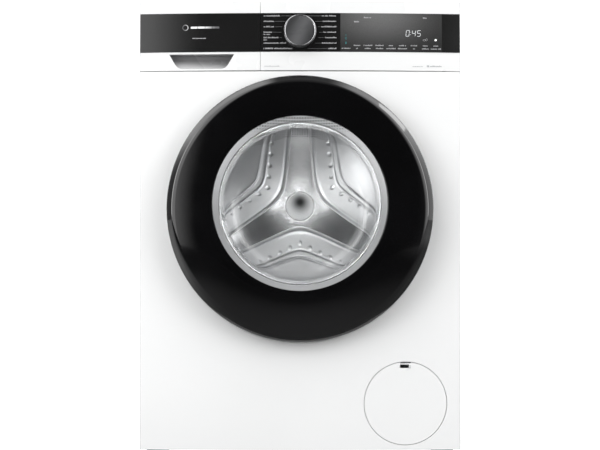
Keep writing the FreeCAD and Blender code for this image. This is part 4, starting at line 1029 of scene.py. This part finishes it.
SEGMENTS = {
    "a": ((0.12, 1.0), (0.88, 1.0)), "b": ((1.0, 0.94), (1.0, 0.56)), "c": ((1.0, 0.44), (1.0, 0.06)),
    "d": ((0.12, 0.0), (0.88, 0.0)), "e": ((0.0, 0.06), (0.0, 0.44)), "f": ((0.0, 0.56), (0.0, 0.94)),
    "g": ((0.12, 0.5), (0.88, 0.5)),
}
DIGITS = {"0": "abcdef", "4": "bcfg", "5": "acdfg"}


def digit(figure, x0, z0, wide, tall, stroke):
    """Seven-segment figure, slanted a little."""
    made = []
    for key in DIGITS[figure]:
        (ax, az), (bx, bz) = SEGMENTS[key]
        a, b = Vector((ax * wide, az * tall)), Vector((bx * wide, bz * tall))
        run = (b - a).normalized()
        side = Vector((-run.y, run.x)) * stroke / 2
        tip = run * stroke / 2
        outline = [a - tip, a + side, b + side, b + tip, b - side, a - side]
        made.append([(x0 + p.x + p.y * 0.12, z0 + p.y) for p in outline])
    return made


def display_marks():
    """Lit time, indicator lamps, small icons and the touch fields under them."""
    shapes = []
    for figure, x in (("0", 0.1965), ("4", 0.2080), ("5", 0.2175)):
        shapes += digit(figure, x, 0.7805, 0.0058, 0.0108, 0.0009)
    shapes += [disc(0.2055, 0.7835, 0.0006, 10), disc(0.2060, 0.7880, 0.0006, 10)]
    plates("display_digits", shapes, BAND_FACE, MARKS["digit_light"], "cabinet")
    plates("start_lamp", [disc(0.2522, 0.7737, 0.0018)], BAND_FACE, MARKS["lamp_white"], "cabinet")
    dice = random.Random(9)
    words = []
    upper = (None, 0.012, 0.016, 0.015, 0.008, 0.013, 0.012, 0.0096, 0.009)
    lower = (0.016, 0.0035, 0.012, 0.0135, 0.017, 0.017, 0.0035, 0.013, 0.019)
    places = (0.0852, 0.1057, 0.1261, 0.1475, 0.1689, 0.1903, 0.2117, 0.2330, 0.2525)
    for x, top, under in zip(places, upper, lower):
        if top:
            words += dashes(x - top / 2, top, 0.7625, 0.0022, dice)
        words += dashes(x - under / 2, under, 0.7568, 0.0022, dice)
    for x, z, wide in ((0.1048, 0.8067, 0.009), (0.1252, 0.8147, 0.013), (0.2321, 0.8147, 0.007)):
        words += dashes(x - wide / 2, wide, z, 0.0025, dice)
    words += hoop(0.2310, 0.7733, 0.0026, 0.0017, 0.0005) + hoop(0.2350, 0.7741, 0.0018, 0.0022, 0.0005)
    plates("touch_labels", words, BAND_FACE, MARKS["label_ink"], "cabinet")
    drop = [(0.0852 + 0.0016 * math.sin(t) * math.sin(t / 2) ** 2, 0.7680 + 0.0030 * math.cos(t))
            for t in (2 * math.pi * i / 20 for i in range(20))]
    teal = [drop] + hoop(0.0852, 0.7760, 0.0014, 0.0022, 0.0006) + [bar(0.0849, 0.0855, 0.7795, 0.7840)]
    plates("care_icons", teal, BAND_FACE, MARKS["icon_teal"], "cabinet")


def emblem():
    """Plain generic mark: a ring and a bar, with a thin line under them."""
    z = 0.7965
    shapes = hoop(-0.2130, z, 0.0056, 0.0056, 0.0014, 36)
    for i in range(4):
        x = -0.2030 + 0.0135 * i
        shapes.append(bar(x, x + 0.0125, z - 0.0018, z + 0.0018))
    plates("drawer_emblem", shapes, BAND_FACE, MARKS["emblem_ink"], "drawer")
    line = [bar(-0.2000 + 0.0065 * i, -0.1940 + 0.0065 * i, 0.7755, 0.7770) for i in range(4)]
    plates("drawer_emblem_line", line, BAND_FACE, MARKS["label_ink"], "drawer")


def strip_marks():
    """Fine grey lines in place of the small print under the band."""
    dice = random.Random(2)
    words = dashes(-0.0660, 0.028, 0.7235, 0.0017, dice)
    words += dashes(0.2090, 0.020, 0.7236, 0.0014, dice)
    words += [bar(0.2355, 0.2400, 0.7228, 0.7263)]
    words += dashes(0.2415, 0.0215, 0.7243, 0.0026, dice)
    plates("strip_marks", words, 0.0001, MARKS["strip_ink"], "cabinet")


def flap_slot():
    """Thin dark plate as a painted shadow in the recessed edge above the flap's coin slot, and the small
    catch beside it.
    """
    flap_lo, flap_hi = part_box("service_flap")
    middle, top = (flap_lo.x + flap_hi.x) / 2, flap_hi.z
    for name, left, right, low, high, proud, look in (
            # painted shadow: a thin dark plate in place of the shade in the recess
            ("flap_recess_painted_shadow", -0.0098, 0.0096, 0.0021, 0.0003, 0.0001, LOOKS["dark_plastic"]),
            ("flap_catch", 0.0058, 0.0092, 0.0116, 0.0060, 0.0004, MARKS["strip_ink"]),
            ("flap_catch_face", 0.0066, 0.0085, 0.0107, 0.0069, 0.0007, LOOKS["body_white"])):
        shape = bar(middle + left, middle + right, top - low, top - high)
        plates(name, [shape], proud, look, "service_flap", place=front_point)


def knob_pointer():
    """Small raised tick at the top of the knob's rim."""
    plates("knob_pointer", [bar(-0.0006, 0.0006, KNOB_Z + 0.0205, KNOB_Z + 0.0255)], KNOB_FACE - 0.0004,
           MARKS["leader_ink"], "programme_knob", 0.0005)


# ---------------------------------------------------------------- build

for build in (door_ring, window_rim, glass_bowl, drum_back, hub_cap, drum_wall, door_gasket,
              suspension_springs, hoses, programme_labels, display_marks, emblem, strip_marks, flap_slot,
              knob_pointer):
    build()


# ---------------------------------------------------------------- studio

CAMERA_AT = (0, -3.2605, 0.4293)
LENS = 96.8
BACKGROUND = 0.95
STUDIO_DARK = 0.02
# component of the direction, where the light starts to change, where it has changed, by how much
STUDIO_WALLS = (
    ("X", -0.155, -0.29, 2.1), ("X", -0.78, -0.97, -2.1),
    ("X", 0.20, 0.42, 1.85), ("X", 0.80, 1.0, -0.9),
    ("Z", 0.34, 0.62, 0.22), ("Z", 0.80, 0.97, -0.2),
    ("Y", -0.3, 0.2, 0.25),
)

# soft glows inside the drum, facing its back: name, x, height above the axis, size, power
DRUM_GLOWS = (
    ("glow_right", 0.138, 0.055, 0.08, 0.13, 0.062),
    ("glow_below", 0.0, -0.125, 0.24, 0.06, 0.034),
    ("glow_left", -0.16, -0.03, 0.04, 0.10, 0.018),
    ("glow_hub", 0.0, 0.0, 0.030, 0.030, 0.12),
    ("glow_over_hub", 0.0, 0.050, 0.040, 0.035, 0.0045),
    ("glow_upright", 0.0, 0.115, 0.05, 0.10, 0.007),
    ("glow_left_strip", -0.055, 0.03, 0.02, 0.07, 0.010),
    ("glow_right_strip", 0.055, 0.03, 0.02, 0.07, 0.010),
)


def stage_sheet():
    """Pale floor that curves up into a backdrop; it is clear when looked at from behind or below."""
    half, back, top, bend = 6.0, 4.0, 6.0, 1.5
    profile = [(-7.0, 0.0), (back - bend, 0.0)]
    for i in range(1, 13):
        a = math.pi / 2 * i / 12
        profile.append((back - bend + bend * math.sin(a), bend - bend * math.cos(a)))
    profile.append((back, top))
    verts = [(x, y, z) for y, z in profile for x in (-half, half)]
    faces = [(2 * i, 2 * i + 1, 2 * i + 3, 2 * i + 2) for i in range(len(profile) - 1)]
    look = Look("stage_white", (0.80, 0.80, 0.80), 0.9, Emission_Color=(1, 1, 1, 1), Emission_Strength=0.72)
    x, y, _ = look.xyz()
    near = look.times(look.span(y, -4.0, -0.8), look.span(x, -1.1, -0.25, 0.60, 0.12))
    shade = look.calc("ADD", look.calc("MAXIMUM", near, look.span(x, 1.0, 2.2, 0.0, 0.35)), 0.02)
    dim = look.feed(look.node("ShaderNodeBsdfDiffuse"), Color=look.grey(shade)).outputs[0]
    camera_ray = look.node("ShaderNodeLightPath").outputs["Is Camera Ray"]
    lit = look.surface(camera_ray, dim, look.shader.outputs[0])
    behind = look.node("ShaderNodeNewGeometry").outputs["Backfacing"]
    look.surface(behind, lit, look.node("ShaderNodeBsdfTransparent").outputs[0])
    mesh = bpy.data.meshes.new("studio_floor")
    mesh.from_pydata(verts, [], faces)
    for face in mesh.polygons:
        face.use_smooth = True
    mesh.materials.append(look.material)
    add_object("studio_floor", mesh)


def lamp(name, place, target, wide, tall, watts):
    data = bpy.data.lights.new(name, "AREA")
    data.shape = "RECTANGLE"
    data.size = wide
    data.size_y = tall
    data.energy = watts
    made = add_object(name, data)
    made.location = place
    made.rotation_euler = (Vector(target) - Vector(place)).to_track_quat("-Z", "Y").to_euler()
    made.visible_camera = False


def studio():
    """Dark behind the camera, bright to the sides and above: seen in the gloss, and the main soft light."""
    world = bpy.data.worlds.new("studio")
    bpy.context.scene.world = world
    world.use_nodes = True
    sky = Nodes(world.node_tree)
    direction = sky.node("ShaderNodeTexCoord").outputs["Generated"]
    where = sky.feed(sky.node("ShaderNodeSeparateXYZ"), Vector=direction)
    total = STUDIO_DARK
    for axis, start, end, strength in STUDIO_WALLS:
        total = sky.calc("ADD", sky.span(where.outputs[axis], start, end, 0.0, strength), total)
    seen = sky.blend(sky.node("ShaderNodeLightPath").outputs["Is Camera Ray"], total, BACKGROUND)
    sky.feed(sky.tree.nodes["Background"], Color=(1, 1, 1, 1), Strength=seen)
    lamp("softbox_left", (-2.9, -2.7, 1.5), (0, 0, 0.5), 1.6, 2.4, 44)
    lamp("softbox_right", (2.9, -2.7, 1.5), (0, 0, 0.5), 1.6, 2.4, 38)
    lamp("softbox_top", (0, -1.0, 3.4), (0, -0.1, 0.4), 2.6, 2.2, 3)
    lamp("bevel_light", (2.3, 0.15, AXIS_Z + 2.3), (0, -0.3, DOOR_Z), 0.9, 0.9, 9)
    for name, x, up, wide, tall, watts in DRUM_GLOWS:
        lamp(name, (x, -0.06, AXIS_Z + up), (x, 0.2, AXIS_Z + up), wide, tall, watts)


def camera():
    data = bpy.data.cameras.new("camera")
    data.sensor_width = 36
    data.lens = LENS
    made = add_object("camera", data)
    made.location = CAMERA_AT
    made.rotation_euler = (math.pi / 2, 0, 0)
    bpy.context.scene.camera = made


stage_sheet()
studio()
camera()
bpy.context.scene.view_settings.view_transform = "Standard"
